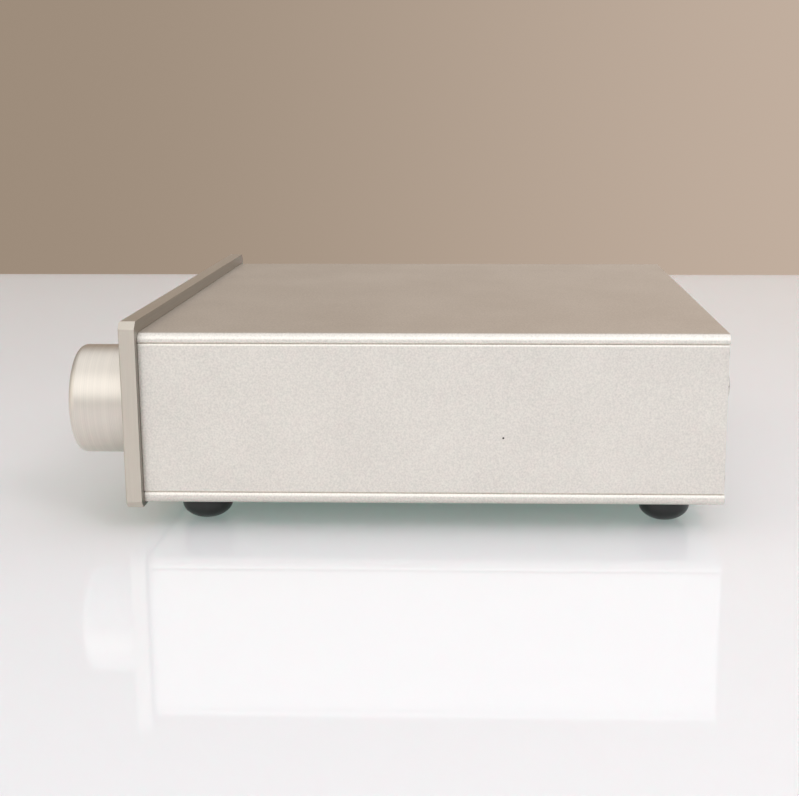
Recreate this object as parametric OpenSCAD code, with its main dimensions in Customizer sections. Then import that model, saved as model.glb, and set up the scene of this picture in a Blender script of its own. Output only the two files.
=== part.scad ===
// Desktop digital-to-analog converter: an extruded aluminium case on rubber feet, closed by a
// thick front panel with a volume knob and by a recessed rear panel with the sockets.
// The front faces -Y and +Z is up. The origin is on the floor, under the middle of the overall box.

/* [Case] */
// Width over the two side panels
case_w = 200; // [185:1:230]
// Length of the extrusions behind the front panel
case_l = 190; // [175:1:220]
// Height over the two covers
case_h = 56.7; // [53:0.1:66]
// Thickness of the top cover
cover_t = 3.1; // [2.6:0.1:4.2]
// Thickness of the bottom cover
base_t = 4.1; // [3:0.1:5]
// Radius along the covers' long outer edges
cover_round = 2.6; // [1:0.1:3.4]
// Thickness of the side panels
side_t = 4; // [3:0.1:5.5]
// How far the side panels stop short of the covers at the rear
side_short = 0.3; // [0:0.1:0.8]
// Bevel on each lip of the two seams
seam_bevel = 0.5; // [0.2:0.1:0.8]
// Thickness of the tongues on the side panels
tongue_w = 1.6; // [1:0.1:2]
// Height of the tongues on the side panels
tongue_h = 1.2; // [0.6:0.1:1.8]
// Outer radius of a screw port
port_r = 3.2; // [2.8:0.1:3.8]
// Height of the web between a screw port and its cover
port_web = 0.8; // [0.4:0.1:1.6]
// Width of the slit along a screw port
port_slit = 1.2; // [0.6:0.1:1.8]
// Clearance round a piece that is seated in another
seat_gap = 0.15; // [0.1:0.05:0.3]

/* [Front panel] */
// Thickness of the front panel
panel_t = 5.3; // [4:0.1:8]
// How far the front panel stands past each side of the case
panel_over_side = 3.2; // [0.5:0.1:6]
// How far the front panel stands above the case
panel_over_top = 4; // [0.5:0.1:6]
// How far the front panel reaches below the case
panel_over_bottom = 0.2; // [0:0.1:4]
// Corner radius of the front panel
panel_corner = 2.5; // [1:0.1:5]
// Bevel round the front edge of the front panel
panel_edge = 0.4; // [0.2:0.1:0.8]

/* [Rear panel] */
// Thickness of the rear panel
rear_t = 2; // [1.5:0.1:3]
// How deep the rear panel sits inside the case
rear_recess = 1; // [0.5:0.1:3]

/* [Feet] */
// Diameter of a foot
foot_d = 17.5; // [15:0.5:22]
// Height of a foot
foot_h = 9.5; // [8:0.5:13]
// Depth of a foot's dome below its straight side
foot_dome = 7.4; // [6.6:0.1:7.8]
// Radius of the shoulder where a foot's side turns into its dome
foot_shoulder = 5.5; // [4:0.1:6]
// Depth of the flat on the tip of the dome
foot_flat = 0.4; // [0.2:0.1:0.6]
// Distance of a foot's axis from the side of the case
foot_inset_x = 18.4; // [14:0.1:30]
// Distance of a foot's axis from the front and rear ends of the case
foot_inset_y = 17.4; // [14:0.1:30]

/* [Volume control] */
// Diameter of the knob
knob_d = 36.8; // [32:0.2:44]
// Length of the knob
knob_l = 20; // [17:0.5:28]
// Radius round the front edge of the knob
knob_round = 2.6; // [1:0.1:4]
// Gap between the knob and the front panel
knob_gap = 0.6; // [0.4:0.1:1.5]
// Distance of the knob's axis from the right edge of the front panel
knob_inset = 28; // [26:0.5:36]
// Diameter of the pointer dimple in the knob's face
dimple_d = 2.4; // [1.5:0.1:3.5]
// Diameter of the shaft
shaft_d = 6; // [5:0.1:6.4]
// Radial clearance of the shaft in its bushing
shaft_gap = 0.05; // [0.02:0.01:0.08]
// Length of the shaft that is gripped in the knob
shaft_grip = 8; // [6:0.5:9]
// Depth of the flat on the shaft
shaft_flat = 1.5; // [1:0.1:2]
// Diameter of the potentiometer's bushing
bush_d = 9; // [8.4:0.1:11]
// Width and height of the potentiometer's housing
pot_w = 27; // [24:0.5:30]
// Length of the potentiometer's housing
pot_l = 18; // [14:0.5:22]
// Wall of the potentiometer's housing
pot_wall = 1.8; // [1.2:0.1:2.5]

/* [Buttons and indicators] */
// Diameter of the power button
power_d = 12; // [9:0.5:15]
// How far the power button stands out of the front panel
power_proud = 3.5; // [3:0.1:6]
// Travel of the power button
power_travel = 2.5; // [1:0.1:2.8]
// Diameter of the select button
select_d = 9; // [7:0.5:12]
// How far the select button stands out of the front panel
select_proud = 2.4; // [1.5:0.1:4]
// Travel of the select button
select_travel = 0.5; // [0.2:0.1:1]
// Distance of the select button's axis from the knob's axis
select_offset = 36; // [32:0.5:42]
// Radial clearance of a button in the front panel
button_gap = 0.25; // [0.15:0.05:0.4]
// Radius on the front edge of a button
button_round = 0.8; // [0.3:0.1:1.5]
// Diameter of an indicator
led_d = 3; // [2:0.1:4]
// Number of indicators
led_count = 4; // [1:1:5]
// Spacing of the indicators
led_pitch = 10; // [7:0.5:10]
// Distance of the headphone socket from the power button
phones_offset = 33; // [28:0.5:36]
// Diameter of the headphone socket's bore
phones_bore_d = 6.5; // [6.4:0.05:6.6]

/* [Sockets] */
// Height of the line sockets above the underside of the case
jack_rise = 29; // [24:0.5:34]
// Distance of the coaxial input from the right side of the case
coax_inset = 56; // [52:0.5:62]
// Spacing of the line sockets
jack_pitch = 24; // [18:0.5:26]
// Outer diameter of a line socket's barrel
barrel_d = 8.3; // [8:0.05:8.6]
// Length of a line socket's barrel past its flange
barrel_l = 8.7; // [7.5:0.1:10]
// Diameter of the hole in a line socket's contact
contact_bore_d = 3.2; // [3:0.05:3.4]
// Distance of the USB socket from the right side of the case
usb_inset = 20; // [18:0.5:24]
// Distance of the optical socket from the right side of the case
optical_inset = 37; // [34:0.5:42]
// Distance of the mains inlet from the left side of the case
inlet_inset = 38; // [36:0.5:46]

/* [Inside] */
// Height of the standoffs under the main board
standoff_h = 8; // [8:0.5:12]
// Thickness of the circuit boards
board_t = 1.6; // [1:0.1:2.4]
// Distance of the main board from the front panel
board_front = 40; // [38:1:50]
// Distance of the front board from the front panel
front_board_y = 14; // [12:0.5:20]
// Outer diameter of the transformer
core_d = 70; // [60:1:74]
// Height of the transformer
core_h = 28; // [20:1:30]
// Distance of the transformer's axis from the front panel
core_y = 92; // [85:1:100]

/* [Hidden] */
$fn = 72;
over = 1;

// Screws
screw_r = 1.5;
screw_gap = 0.15;
thread_gap = 0.05;
head_r = 2.8;
head_h = 1.7;
head_round = 0.9;
socket_r = 1.1;
socket_h = 1.1;

// Planes of the case
half_w = case_w / 2;
side_x = half_w - side_t;
base_z = foot_h;
floor_z = base_z + base_t;
crown_z = base_z + case_h;
roof_z = crown_z - cover_t;
mid_z = (floor_z + roof_z) / 2;
rear_y = case_l - rear_recess;
rear_in_y = rear_y - rear_t;
tongue_x = half_w - side_t / 2;

// Screw ports
port_gap = 0.3;
port_x = side_x - port_gap - port_r;
port_drop = port_r + port_web;
port_bore_r = screw_r + thread_gap;
port_web_w = 4.5;
port_reach = 12;
PORTS = [for (x = [-port_x, port_x], z = [floor_z + port_drop, roof_z - port_drop]) [x, z]];

// Front panel
panel_w = case_w + 2 * panel_over_side;
panel_h = case_h + panel_over_top + panel_over_bottom;
panel_low_z = base_z - panel_over_bottom;
panel_z = panel_low_z + panel_h / 2;

// Volume control
knob_x = panel_w / 2 - knob_inset;
knob_back_y = -panel_t - knob_gap;
dimple_l = 0.6;
washer_t = 0.5;
nut_t = 2;
bush_tip = 0.5;
bush_r = bush_d / 2;
bush_l = panel_t + washer_t + nut_t + bush_tip;
bush_gap = 0.1;
pot_nut_r = bush_r + 2.2;
pot_washer_r = bush_r + 2.6;
recess_gap = 1;
recess_r = pot_washer_r + 2;
recess_l = bush_l - panel_t - knob_gap + recess_gap;
shaft_r = shaft_d / 2;
shaft_out = panel_t + knob_gap + recess_l + shaft_grip;
grip_gap = 0.05;
rotor_t = 2.5;
rotor_gap = 0.6;
wiper_gap = 0.1;
wiper_l = 2;
wiper_w = 2;
wiper_t = 1;
track_t = 1.6;
track_pin_l = 6;
track_pin_w = 1;
track_pin_rise = 1;
track_pin_z = panel_z - pot_w / 2 + track_pin_rise + track_pin_w / 2;
set_screw_r = 1.5;
set_screw_dip = 1;
flat_x = shaft_r - shaft_flat;

// Buttons, indicators and headphone socket
power_x = -knob_x;
select_x = knob_x - select_offset;
phones_x = power_x + phones_offset;
collar_over = 1.2;
collar_t = 1.5;
collar_gap = 0.3;
plunger_w = 3.2;
plunger_gap = 0.3;
plunger_seat = 4;
switch_w = 10;
switch_gap = 0.7;
switch_y = collar_gap + collar_t + power_travel + switch_gap;
tact_w = 6;
tact_h = 3.8;
tact_pin_r = 1.75;
tact_pin_in = 0.8;
led_r = led_d / 2;
led_gap = 0.1;
led_proud = 0.4;
led_rim = 0.4;
led_rim_t = 1;
led_lead_w = 0.5;
led_lead_pitch = 1.27;
led_mid_x = (phones_x + select_x) / 2;
phones_nose_r = 5.5;
phones_nut_r = 8;
phones_nut_t = 2;
phones_tip = 0.4;
phones_body_w = 16;
phones_body_h = 18;
phones_body_l = 28;
phones_bore_l = 32;

// Front board
front_board_side = 11;
front_board_h = 34;
front_board_gap = 1;
front_board_x0 = power_x - front_board_side;
front_board_x1 = select_x + front_board_side;
front_board_back = front_board_y + board_t;
post_inset = 3.6;
post_r = 2.5;
POSTS = [for (x = [front_board_x0 + post_inset, front_board_x1 - post_inset], s = [-1, 1])
    [x, panel_z + s * (front_board_h / 2 - post_inset)]];

// Transformer
core_r = core_d / 2;
core_bore_r = 11;
core_round = 6;
core_clear = 3;
core_x = -(port_x - port_r) + core_clear + core_r;
pad_t = 2;
pad_rim = 2;
plate_t = 2;
plate_rim = 5;
stud_r = 3;
stud_gap = 0.2;
stud_tip = 1;
stud_nut_r = 5.5;
stud_nut_h = 4;
core_z = floor_z + pad_t;
plate_z = core_z + core_h + pad_t;

// Main board
ribbon_plug_l = 6;
ribbon_plug_inset = 1;
board_clear = 5;
board_port_gap = 1;
board_rear_gap = 2;
board_x0 = core_x + core_r + board_clear;
board_x1 = port_x - port_r - board_port_gap;
board_y1 = rear_in_y - board_rear_gap;
board_z = floor_z + standoff_h;
board_top_z = board_z + board_t;
standoff_r = 3;
standoff_inset = 4.5;
standoff_rear_inset = 20.5;
standoff_bore_h = 6;
board_screw_l = 6;
STANDOFFS = [for (x = [board_x0 + standoff_inset, board_x1 - standoff_inset],
    y = [board_front + standoff_inset, board_y1 - standoff_rear_inset]) [x, y]];
cap_r = 8;
cap_h = 25;
cap_count = 4;
cap_round = 1;
cap_groove_r = 0.5;
cap_groove_rise = 2;
cap_clear = 9;
cap_y = board_front + ribbon_plug_inset + ribbon_plug_l + cap_clear + cap_r;
cap_pitch = (board_x1 - board_x0 - 2 * (cap_r + standoff_inset)) / (cap_count - 1);
sink_w = 56;
sink_t = 3;
sink_fin_l = 10;
sink_fin_t = 1.6;
sink_fins = 8;
sink_h = 24;
sink_clear = 15.6;
sink_x = (board_x0 + board_x1) / 2;
regulator_count = 3;
regulator_w = 10;
regulator_t = 4.4;
regulator_h = 15;
regulator_rise = 4;
regulator_pitch = 18;
regulator_lead_w = 1;
regulator_lead_t = 0.5;
sink_y = cap_y + cap_r + sink_clear + regulator_t;
// Width, length and height of each chip, and its place from the middle of the row behind the heatsink
chip_clear = 7;
chips_y = sink_y + sink_t + sink_fin_l + chip_clear;
CHIPS = [[14, 14, 1.6, 20, 26], [10, 10, 1.4, -2, 26], [5, 6, 1.6, -18, 20], [5, 6, 1.6, -18, 32],
    [5, 6, 1.6, 6, 8], [12, 5, 3.6, 26, 6]];
// Two relays, in line with the left board screws
relay_w = 10;
relay_l = 15;
relay_h = 10;
relay_clear = 3;
relay_pitch = 40;
relay_x = board_x0 + standoff_inset + head_r + relay_clear;

// Flat cables
ribbon_t = 0.9;
ribbon_plug_h = 9;
ribbon_w = 20;
ribbon_edge = 1;
ribbon_offset = 12;
ribbon_x = select_x - ribbon_offset;
ribbon_bend = 4;

// Line sockets
jack_z = base_z + jack_rise;
barrel_r = barrel_d / 2;
barrel_wall = 0.6;
flange_r = 5.8;
flange_t = 1.6;
jack_thread_r = 3.9;
jack_thread_l = 9;
jack_gap = 0.05;
jack_hole_gap = 0.1;
sleeve_r = barrel_r - barrel_wall;
sleeve_dip = 0.8;
contact_wall = 0.4;
contact_r = contact_bore_d / 2 + contact_wall;
contact_dip = 0.3;
contact_bore_l = 12;
contact_tail_r = 1;
contact_tail_l = 5;
jack_nut_r = 6;
jack_nut_t = 2.2;
coax_x = half_w - coax_inset;
right_out_x = coax_x - jack_pitch;
left_out_x = right_out_x - jack_pitch;
JACKS_X = [coax_x, right_out_x, left_out_x];

// USB socket
usb_x = half_w - usb_inset;
usb_w = 12;
usb_h = 11;
usb_l = 16;
usb_mouth_w = 8.45;
usb_mouth_h = 7.78;
usb_mouth_cut = 1.6;
usb_mouth_l = 12;
usb_tongue_w = 5.6;
usb_tongue_h = 3.2;
usb_tongue_dip = 1.5;
usb_z = board_top_z + usb_h / 2;

// Optical socket
optical_x = half_w - optical_inset;
optical_w = 10;
optical_h = 10;
optical_l = 13.5;
optical_mouth = 8.2;
optical_mouth_cut = 1.5;
optical_mouth_l = 8.5;
optical_lens_r = 1.2;
optical_lens_l = 2;
optical_z = board_top_z + optical_h / 2;
socket_proud = 0.5;
cutout_gap = 0.3;

// Mains inlet
inlet_x = inlet_inset - half_w;
inlet_z = jack_z;
inlet_flange_w = 50;
inlet_flange_h = 24;
inlet_flange_t = 3;
inlet_flange_r = 3;
inlet_body_w = 27.2;
inlet_body_h = 19.6;
inlet_body_l = 18;
inlet_mouth_w = 24.2;
inlet_mouth_h = 16.4;
inlet_mouth_cut = 4;
inlet_mouth_l = 17;
inlet_hole_pitch = 40;
inlet_screw_l = 9;
inlet_nut_r = 3.1;
inlet_nut_t = 2.2;
blade_w = 2;
blade_h = 4;
blade_l = 14.5;
blade_tail = 9;
blade_tail_y = rear_y - inlet_body_l - blade_tail;
blade_pitch = 14;
blade_offset = 4;

// Leads
mains_lead_r = 1.1;
mains_lead_pitch = 5;
mains_lead_row = 3.5;
mains_drop = 12;
mains_jog = 10;
earth_drop = 7;
earth_tag_r = 3.5;
earth_tag_t = 0.8;
lead_r = 0.8;
lead_pitch = 3;
lead_clear = 1.5;
lead_bends = 4;
lane_z = plate_z + plate_t + stud_nut_h + stud_tip + lead_clear + mains_lead_r;
lane_y = front_board_back + mains_lead_r * lead_bends + lead_clear;
switch_lead_z = panel_z + switch_w / 2;
winding_z = core_z + core_h / 2;
return_y = phones_body_l + lead_clear + mains_lead_r;
secondary_in = 4;
land_y = cap_y - cap_r - lead_clear - lead_r * lead_bends;
phones_lead_z = panel_z - phones_body_h / 4;
phones_lead_x = board_x0 + standoff_inset;
phones_lead_y = phones_body_l + lead_clear + lead_r * lead_bends;
line_tail_y = rear_y - jack_thread_l - contact_tail_l;

// Y of the back of the front panel, which puts the origin under the middle of the overall box
front_reach = panel_t + knob_gap + knob_l;
rear_reach = rear_y + flange_t + barrel_l;
case_y = (front_reach - rear_reach) / 2;

// Places the case's own frame, whose Y starts at the back of the front panel
module in_case() {
    translate([0, case_y, 0]) children();
}

// Extrudes an X-Z outline from y0 to y1
module along_y(y0, y1) {
    translate([0, y1, 0]) rotate([90, 0, 0]) linear_extrude(y1 - y0) children();
}

// Extrudes a Y-Z outline from x0 to x1
module along_x(x0, x1) {
    translate([x0, 0, 0]) rotate([90, 0, 90]) linear_extrude(x1 - x0) children();
}

// Turns +Z of a shape to the front, at a place
module to_front(x, y, z) {
    translate([x, y, z]) rotate([90, 0, 0]) children();
}

// Turns +Z of a shape to the rear, at a place
module to_rear(x, y, z) {
    translate([x, y, z]) rotate([-90, 0, 0]) children();
}

// Rectangle with round corners, centred
module rounded_rect(w, h, r) {
    square([w - 2 * r, h], center = true);
    square([w, h - 2 * r], center = true);
    for (x = [-1, 1], y = [-1, 1])
        translate([x * (w / 2 - r), y * (h / 2 - r)]) circle(r);
}

// Rectangle with its two upper corners cut off, centred
module house_outline(w, h, cut) {
    polygon([[-w / 2, -h / 2], [w / 2, -h / 2], [w / 2, h / 2 - cut], [w / 2 - cut, h / 2],
        [cut - w / 2, h / 2], [-w / 2, h / 2 - cut]]);
}

// Half outline of a cylinder with one rounded end, for turning
module round_end_half(r, h, round) {
    square([r - round, h]);
    square([r, h - round]);
    translate([r - round, h - round]) circle(round);
}

// Cylinder whose upper edge is rounded
module round_end(r, h, round) {
    rotate_extrude() intersection() {
        square([r, h]);
        round_end_half(r, h, round);
    }
}

// Hexagonal nut with a round hole
module hex_nut(r, h, hole_r) {
    difference() {
        cylinder(r = r, h = h, $fn = 6);
        translate([0, 0, -over]) cylinder(r = hole_r, h = h + 2 * over);
    }
}

// Screw with a round head that stands on z = 0
module round_screw(l) {
    difference() {
        union() {
            round_end(head_r, head_h, head_round);
            translate([0, 0, -l]) cylinder(r = screw_r, h = l + head_h / 2);
        }
        translate([0, 0, head_h - socket_h]) cylinder(r = socket_r, h = socket_h + over, $fn = 6);
    }
}

// Screw with a countersunk head that is level with z = 0
module flat_screw(l) {
    difference() {
        union() {
            translate([0, 0, -head_h]) cylinder(r1 = screw_r, r2 = head_r, h = head_h);
            translate([0, 0, -l]) cylinder(r = screw_r, h = l - head_h / 2);
        }
        translate([0, 0, -socket_h]) cylinder(r = socket_r, h = socket_h + over, $fn = 6);
    }
}

// Hole for a countersunk screw, with its mouth on z = 0
module flat_screw_hole(l) {
    translate([0, 0, -l]) cylinder(r = screw_r + screw_gap, h = l + over);
    translate([0, 0, -head_h - screw_gap])
        cylinder(r1 = screw_r, r2 = head_r + screw_gap, h = head_h + screw_gap);
    translate([0, 0, -screw_gap / 2]) cylinder(r = head_r + screw_gap, h = over);
}

// Extruded outline of a cover of thickness t, with its inner face on y = 0 and its outer face above
module cover_section(t) {
    r = min(cover_round, t - seam_bevel - seat_gap);
    groove_w = tongue_w + 2 * seat_gap;
    difference() {
        union() {
            polygon([[seam_bevel - half_w, 0], [half_w - seam_bevel, 0], [half_w, seam_bevel],
                [half_w, t - r], [-half_w, t - r], [-half_w, seam_bevel]]);
            translate([r - half_w, seam_bevel]) square([case_w - 2 * r, t - seam_bevel]);
            for (s = [-1, 1])
                translate([s * (half_w - r), t - r]) intersection() {
                    circle(r);
                    translate([-r, 0]) square([2 * r, r]);
                }
        }
        for (s = [-1, 1])
            translate([s * tongue_x - groove_w / 2, -over]) square([groove_w, tongue_h + seat_gap + over]);
    }
}

// Extruded outline of a cover's two screw ports, which hang below y = 0
module port_section() {
    for (s = [0, 1]) mirror([s, 0])
        translate([port_x, -port_drop]) difference() {
            union() {
                circle(port_r);
                translate([-port_web_w / 2, 0]) square([port_web_w, port_drop + cover_t / 2]);
            }
            circle(port_bore_r);
            translate([-port_r - over, -port_slit / 2]) square([port_r + over, port_slit]);
        }
}

// A cover of thickness t lying on z = 0, with its ports cut back for the rear panel
module cover(t) {
    along_y(0, case_l) cover_section(t);
    along_y(0, rear_in_y) port_section();
}

module top_cover() {
    color("#d9d3cc") in_case() translate([0, 0, roof_z]) cover(cover_t);
}

module bottom_cover() {
    color("#d9d3cc") in_case() translate([0, 0, floor_z]) mirror([0, 0, 1]) cover(base_t);
}

// Extruded outline of the right side panel, with bevelled lips and a tongue on each edge
module side_section() {
    polygon([[side_x, floor_z], [half_w - seam_bevel, floor_z], [half_w, floor_z + seam_bevel],
        [half_w, roof_z - seam_bevel], [half_w - seam_bevel, roof_z], [side_x, roof_z]]);
    translate([tongue_x - tongue_w / 2, floor_z - tongue_h])
        square([tongue_w, roof_z - floor_z + 2 * tongue_h]);
}

module right_side_panel() {
    color("#dad4cf") in_case() along_y(0, case_l - side_short) side_section();
}

module left_side_panel() {
    color("#dad4cf") in_case() mirror([1, 0, 0]) along_y(0, case_l - side_short) side_section();
}

// Plate of the front panel with round corners and a bevel round its front edge
module panel_plate() {
    low = panel_low_z;
    high = panel_low_z + panel_h;
    bevel_y = panel_edge - panel_t;
    intersection() {
        along_y(-panel_t, 0) translate([0, panel_z]) rounded_rect(panel_w, panel_h, panel_corner);
        along_x(-panel_w, panel_w) polygon([[0, low], [0, high], [bevel_y, high],
            [-panel_t, high - panel_edge], [-panel_t, low + panel_edge], [bevel_y, low]]);
        linear_extrude(high + over) polygon([[-panel_w / 2, 0], [-panel_w / 2, bevel_y],
            [panel_edge - panel_w / 2, -panel_t], [panel_w / 2 - panel_edge, -panel_t],
            [panel_w / 2, bevel_y], [panel_w / 2, 0]]);
    }
}

// Places of the indicators along X
function led_x(i) = led_mid_x + (i - (led_count - 1) / 2) * led_pitch;

module front_panel() {
    color("#cfc8bd") in_case() difference() {
        panel_plate();
        along_y(-panel_t - over, over) {
            translate([knob_x, panel_z]) circle(bush_r + bush_gap);
            translate([power_x, panel_z]) circle(power_d / 2 + button_gap);
            translate([select_x, panel_z]) circle(select_d / 2 + button_gap);
            translate([phones_x, panel_z]) circle(phones_nose_r + bush_gap);
            for (i = [0 : led_count - 1])
                translate([led_x(i), panel_z]) circle(led_r + led_gap);
        }
        for (p = PORTS)
            to_front(p[0], -panel_t, p[1]) flat_screw_hole(panel_t + over);
    }
}

module front_panel_screws() {
    color("#8f8c88") in_case() for (p = PORTS)
        to_front(p[0], -panel_t, p[1]) flat_screw(panel_t + port_reach);
}

module rear_panel() {
    color("#d4cec7") in_case() along_y(rear_in_y, rear_y) difference() {
        translate([0, mid_z])
            square([2 * (side_x - seat_gap), roof_z - floor_z - 2 * seat_gap], center = true);
        for (x = JACKS_X)
            translate([x, jack_z]) circle(jack_thread_r + jack_hole_gap);
        for (p = PORTS)
            translate(p) circle(screw_r + screw_gap);
        for (s = [-1, 1])
            translate([inlet_x + s * inlet_hole_pitch / 2, inlet_z]) circle(screw_r + screw_gap);
        translate([usb_x, usb_z]) square([usb_w + 2 * cutout_gap, usb_h + 2 * cutout_gap], center = true);
        translate([optical_x, optical_z])
            square([optical_w + 2 * cutout_gap, optical_h + 2 * cutout_gap], center = true);
        translate([inlet_x, inlet_z])
            square([inlet_body_w + 2 * cutout_gap, inlet_body_h + 2 * cutout_gap], center = true);
    }
}

module rear_panel_screws() {
    color("#8f8c88") in_case() for (p = PORTS)
        to_rear(p[0], rear_y, p[1]) round_screw(rear_t + port_reach);
}

// Half outline of a foot: a shoulder arc that runs into a wider arc with a flat tip
module foot_half() {
    r = foot_d / 2;
    depth = foot_dome;
    in = r - foot_shoulder;
    tip_r = (depth * depth + in * in - foot_shoulder * foot_shoulder) / (2 * (depth - foot_shoulder));
    shoulder_z = depth - foot_flat;
    tip_z = tip_r - foot_flat;
    run = [in, shoulder_z - tip_z] * (tip_r + over) / norm([in, shoulder_z - tip_z]);
    intersection() {
        square([r, foot_h]);
        union() {
            intersection() {
                translate([0, tip_z]) circle(tip_r);
                polygon([[0, tip_z], [0, -depth], [run[0], -depth], [run[0], tip_z + run[1]]]);
            }
            translate([in, shoulder_z]) circle(foot_shoulder);
            translate([0, shoulder_z]) square([r, foot_h - shoulder_z]);
        }
    }
}

module foot(side, y) {
    color("#1d1c1b") in_case() translate([side * (half_w - foot_inset_x), y, 0]) rotate_extrude() foot_half();
}

module foot_front_left() {
    foot(-1, foot_inset_y);
}

module foot_front_right() {
    foot(1, foot_inset_y);
}

module foot_rear_left() {
    foot(-1, case_l - foot_inset_y);
}

module foot_rear_right() {
    foot(1, case_l - foot_inset_y);
}

module volume_knob() {
    r = knob_d / 2;
    bore_r = shaft_r + grip_gap;
    screw_z = recess_l + shaft_grip / 2;
    color("#d8d3cb") in_case() to_front(knob_x, knob_back_y, panel_z) difference() {
        round_end(r, knob_l, knob_round);
        translate([0, 0, -over]) cylinder(r = recess_r, h = recess_l + over);
        cylinder(r = bore_r, h = recess_l + shaft_grip + grip_gap);
        translate([0, 0, screw_z]) rotate([90, 0, 0]) cylinder(r = set_screw_r + thread_gap, h = r + over);
        translate([0, r - knob_round - dimple_d, knob_l - dimple_l])
            cylinder(r = dimple_d / 2, h = dimple_l + over);
    }
}

module knob_set_screw() {
    length = knob_d / 2 - flat_x - set_screw_dip;
    y = knob_back_y - recess_l - shaft_grip / 2;
    color("#4a4744") in_case() translate([knob_x, y, panel_z - flat_x]) rotate([180, 0, 0]) difference() {
        cylinder(r = set_screw_r, h = length);
        translate([0, 0, length - socket_h]) cylinder(r = set_screw_r / 2, h = socket_h + over, $fn = 6);
    }
}

module pot_shaft() {
    rear = pot_l - wiper_l - rotor_t - wiper_gap;
    color("#b9b6b0") in_case() difference() {
        to_front(knob_x, rear, panel_z) cylinder(r = shaft_r, h = rear + shaft_out);
        translate([knob_x - shaft_d, -shaft_out - over, panel_z - flat_x - shaft_d])
            cube([2 * shaft_d, shaft_grip + over, shaft_d]);
    }
}

// Disc on the inner end of the shaft, with two wiper blades that reach the resistance track
module pot_rotor() {
    r = pot_w / 2 - pot_wall - rotor_gap;
    y = pot_l - wiper_gap - wiper_l - rotor_t;
    color("#6d4b34") in_case() to_rear(knob_x, y, panel_z) {
        cylinder(r = r, h = rotor_t);
        for (s = [-1, 1])
            translate([s * r / 2 - wiper_w / 2, -wiper_t / 2, rotor_t / 2])
                cube([wiper_w, wiper_t, rotor_t / 2 + wiper_l]);
    }
}

module pot_housing() {
    cavity_r = pot_w / 2 - pot_wall;
    color("#9a9c9d") in_case() difference() {
        union() {
            along_y(0, pot_l) translate([knob_x, panel_z]) square(pot_w, center = true);
            to_front(knob_x, over, panel_z) cylinder(r = bush_r, h = bush_l + over);
        }
        to_rear(knob_x, pot_wall, panel_z) cylinder(r = cavity_r, h = pot_l);
        to_rear(knob_x, -bush_l - over, panel_z)
            cylinder(r = shaft_r + shaft_gap, h = bush_l + pot_wall + 2 * over);
    }
}

// Places of the track's pins along X
function track_pin_x(i) = knob_x + i * pot_w / 4;

// Resistance track that closes the housing, with a row of pins
module pot_track() {
    color("#7a5230") in_case() {
        along_y(pot_l, pot_l + track_t) translate([knob_x, panel_z]) square(pot_w, center = true);
        for (i = [-1 : 1])
            translate([track_pin_x(i) - track_pin_w / 2, pot_l + track_t / 2, track_pin_z - track_pin_w / 2])
                cube([track_pin_w, track_pin_l, track_pin_w]);
    }
}

module pot_washer() {
    color("#c8c5bf") in_case() to_front(knob_x, -panel_t, panel_z) difference() {
        cylinder(r = pot_washer_r, h = washer_t);
        translate([0, 0, -over]) cylinder(r = bush_r + bush_gap, h = washer_t + 2 * over);
    }
}

module pot_nut() {
    color("#c8c5bf") in_case() to_front(knob_x, -panel_t - washer_t, panel_z)
        hex_nut(pot_nut_r, nut_t, bush_r + thread_gap);
}

// Turned cap with a collar that stops behind the front panel
module button_cap(d, proud) {
    length = proud + panel_t + collar_gap;
    rotate([180, 0, 0]) {
        translate([0, 0, -over]) round_end(d / 2, length + over, button_round);
        translate([0, 0, -collar_t]) cylinder(r = d / 2 + collar_over, h = collar_t);
    }
}

module power_button() {
    hole_w = plunger_w + 2 * seat_gap;
    color("#d8d3cb") in_case() difference() {
        to_rear(power_x, collar_gap, panel_z) button_cap(power_d, power_proud);
        along_y(collar_gap + collar_t - plunger_seat, collar_gap + collar_t + over)
            translate([power_x, panel_z]) square(hole_w, center = true);
    }
}

module power_plunger() {
    rear = front_board_y - power_travel - switch_gap;
    color("#e6e2d8") in_case() along_y(collar_gap + collar_t - plunger_seat, rear)
        translate([power_x, panel_z]) square(plunger_w, center = true);
}

module power_switch() {
    color("#2b2b2d") in_case() difference() {
        along_y(switch_y, front_board_y) translate([power_x, panel_z]) square(switch_w, center = true);
        along_y(switch_y - over, front_board_y - switch_gap / 2)
            translate([power_x, panel_z]) square(plunger_w + 2 * plunger_gap, center = true);
    }
}

module select_button() {
    color("#d8d3cb") in_case() to_rear(select_x, collar_gap, panel_z) {
        button_cap(select_d, select_proud);
        cylinder(r = tact_pin_r, h = front_board_y - tact_h - collar_gap + tact_pin_in);
    }
}

module select_switch() {
    hole_l = tact_pin_in + select_travel + switch_gap;
    color("#2b2b2d") in_case() difference() {
        along_y(front_board_y - tact_h, front_board_y)
            translate([select_x, panel_z]) square(tact_w, center = true);
        to_front(select_x, front_board_y - tact_h + hole_l, panel_z)
            cylinder(r = tact_pin_r + button_gap, h = hole_l + over);
    }
}

// Lamps with a rim behind the panel and two leads to the front board
module indicators() {
    color("#dfe7ea") in_case() for (i = [0 : led_count - 1]) {
        to_front(led_x(i), 0, panel_z) {
            rotate_extrude() intersection() {
                square([led_r, panel_t + led_proud]);
                union() {
                    square([led_r, panel_t + led_proud - led_r]);
                    translate([0, panel_t + led_proud - led_r]) circle(led_r);
                }
            }
            translate([0, 0, -led_rim_t]) cylinder(r = led_r + led_rim, h = led_rim_t);
        }
        for (s = [-1, 1])
            along_y(led_rim_t / 2, front_board_y) translate([led_x(i) + s * led_lead_pitch, panel_z])
                square(led_lead_w, center = true);
    }
}

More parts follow.
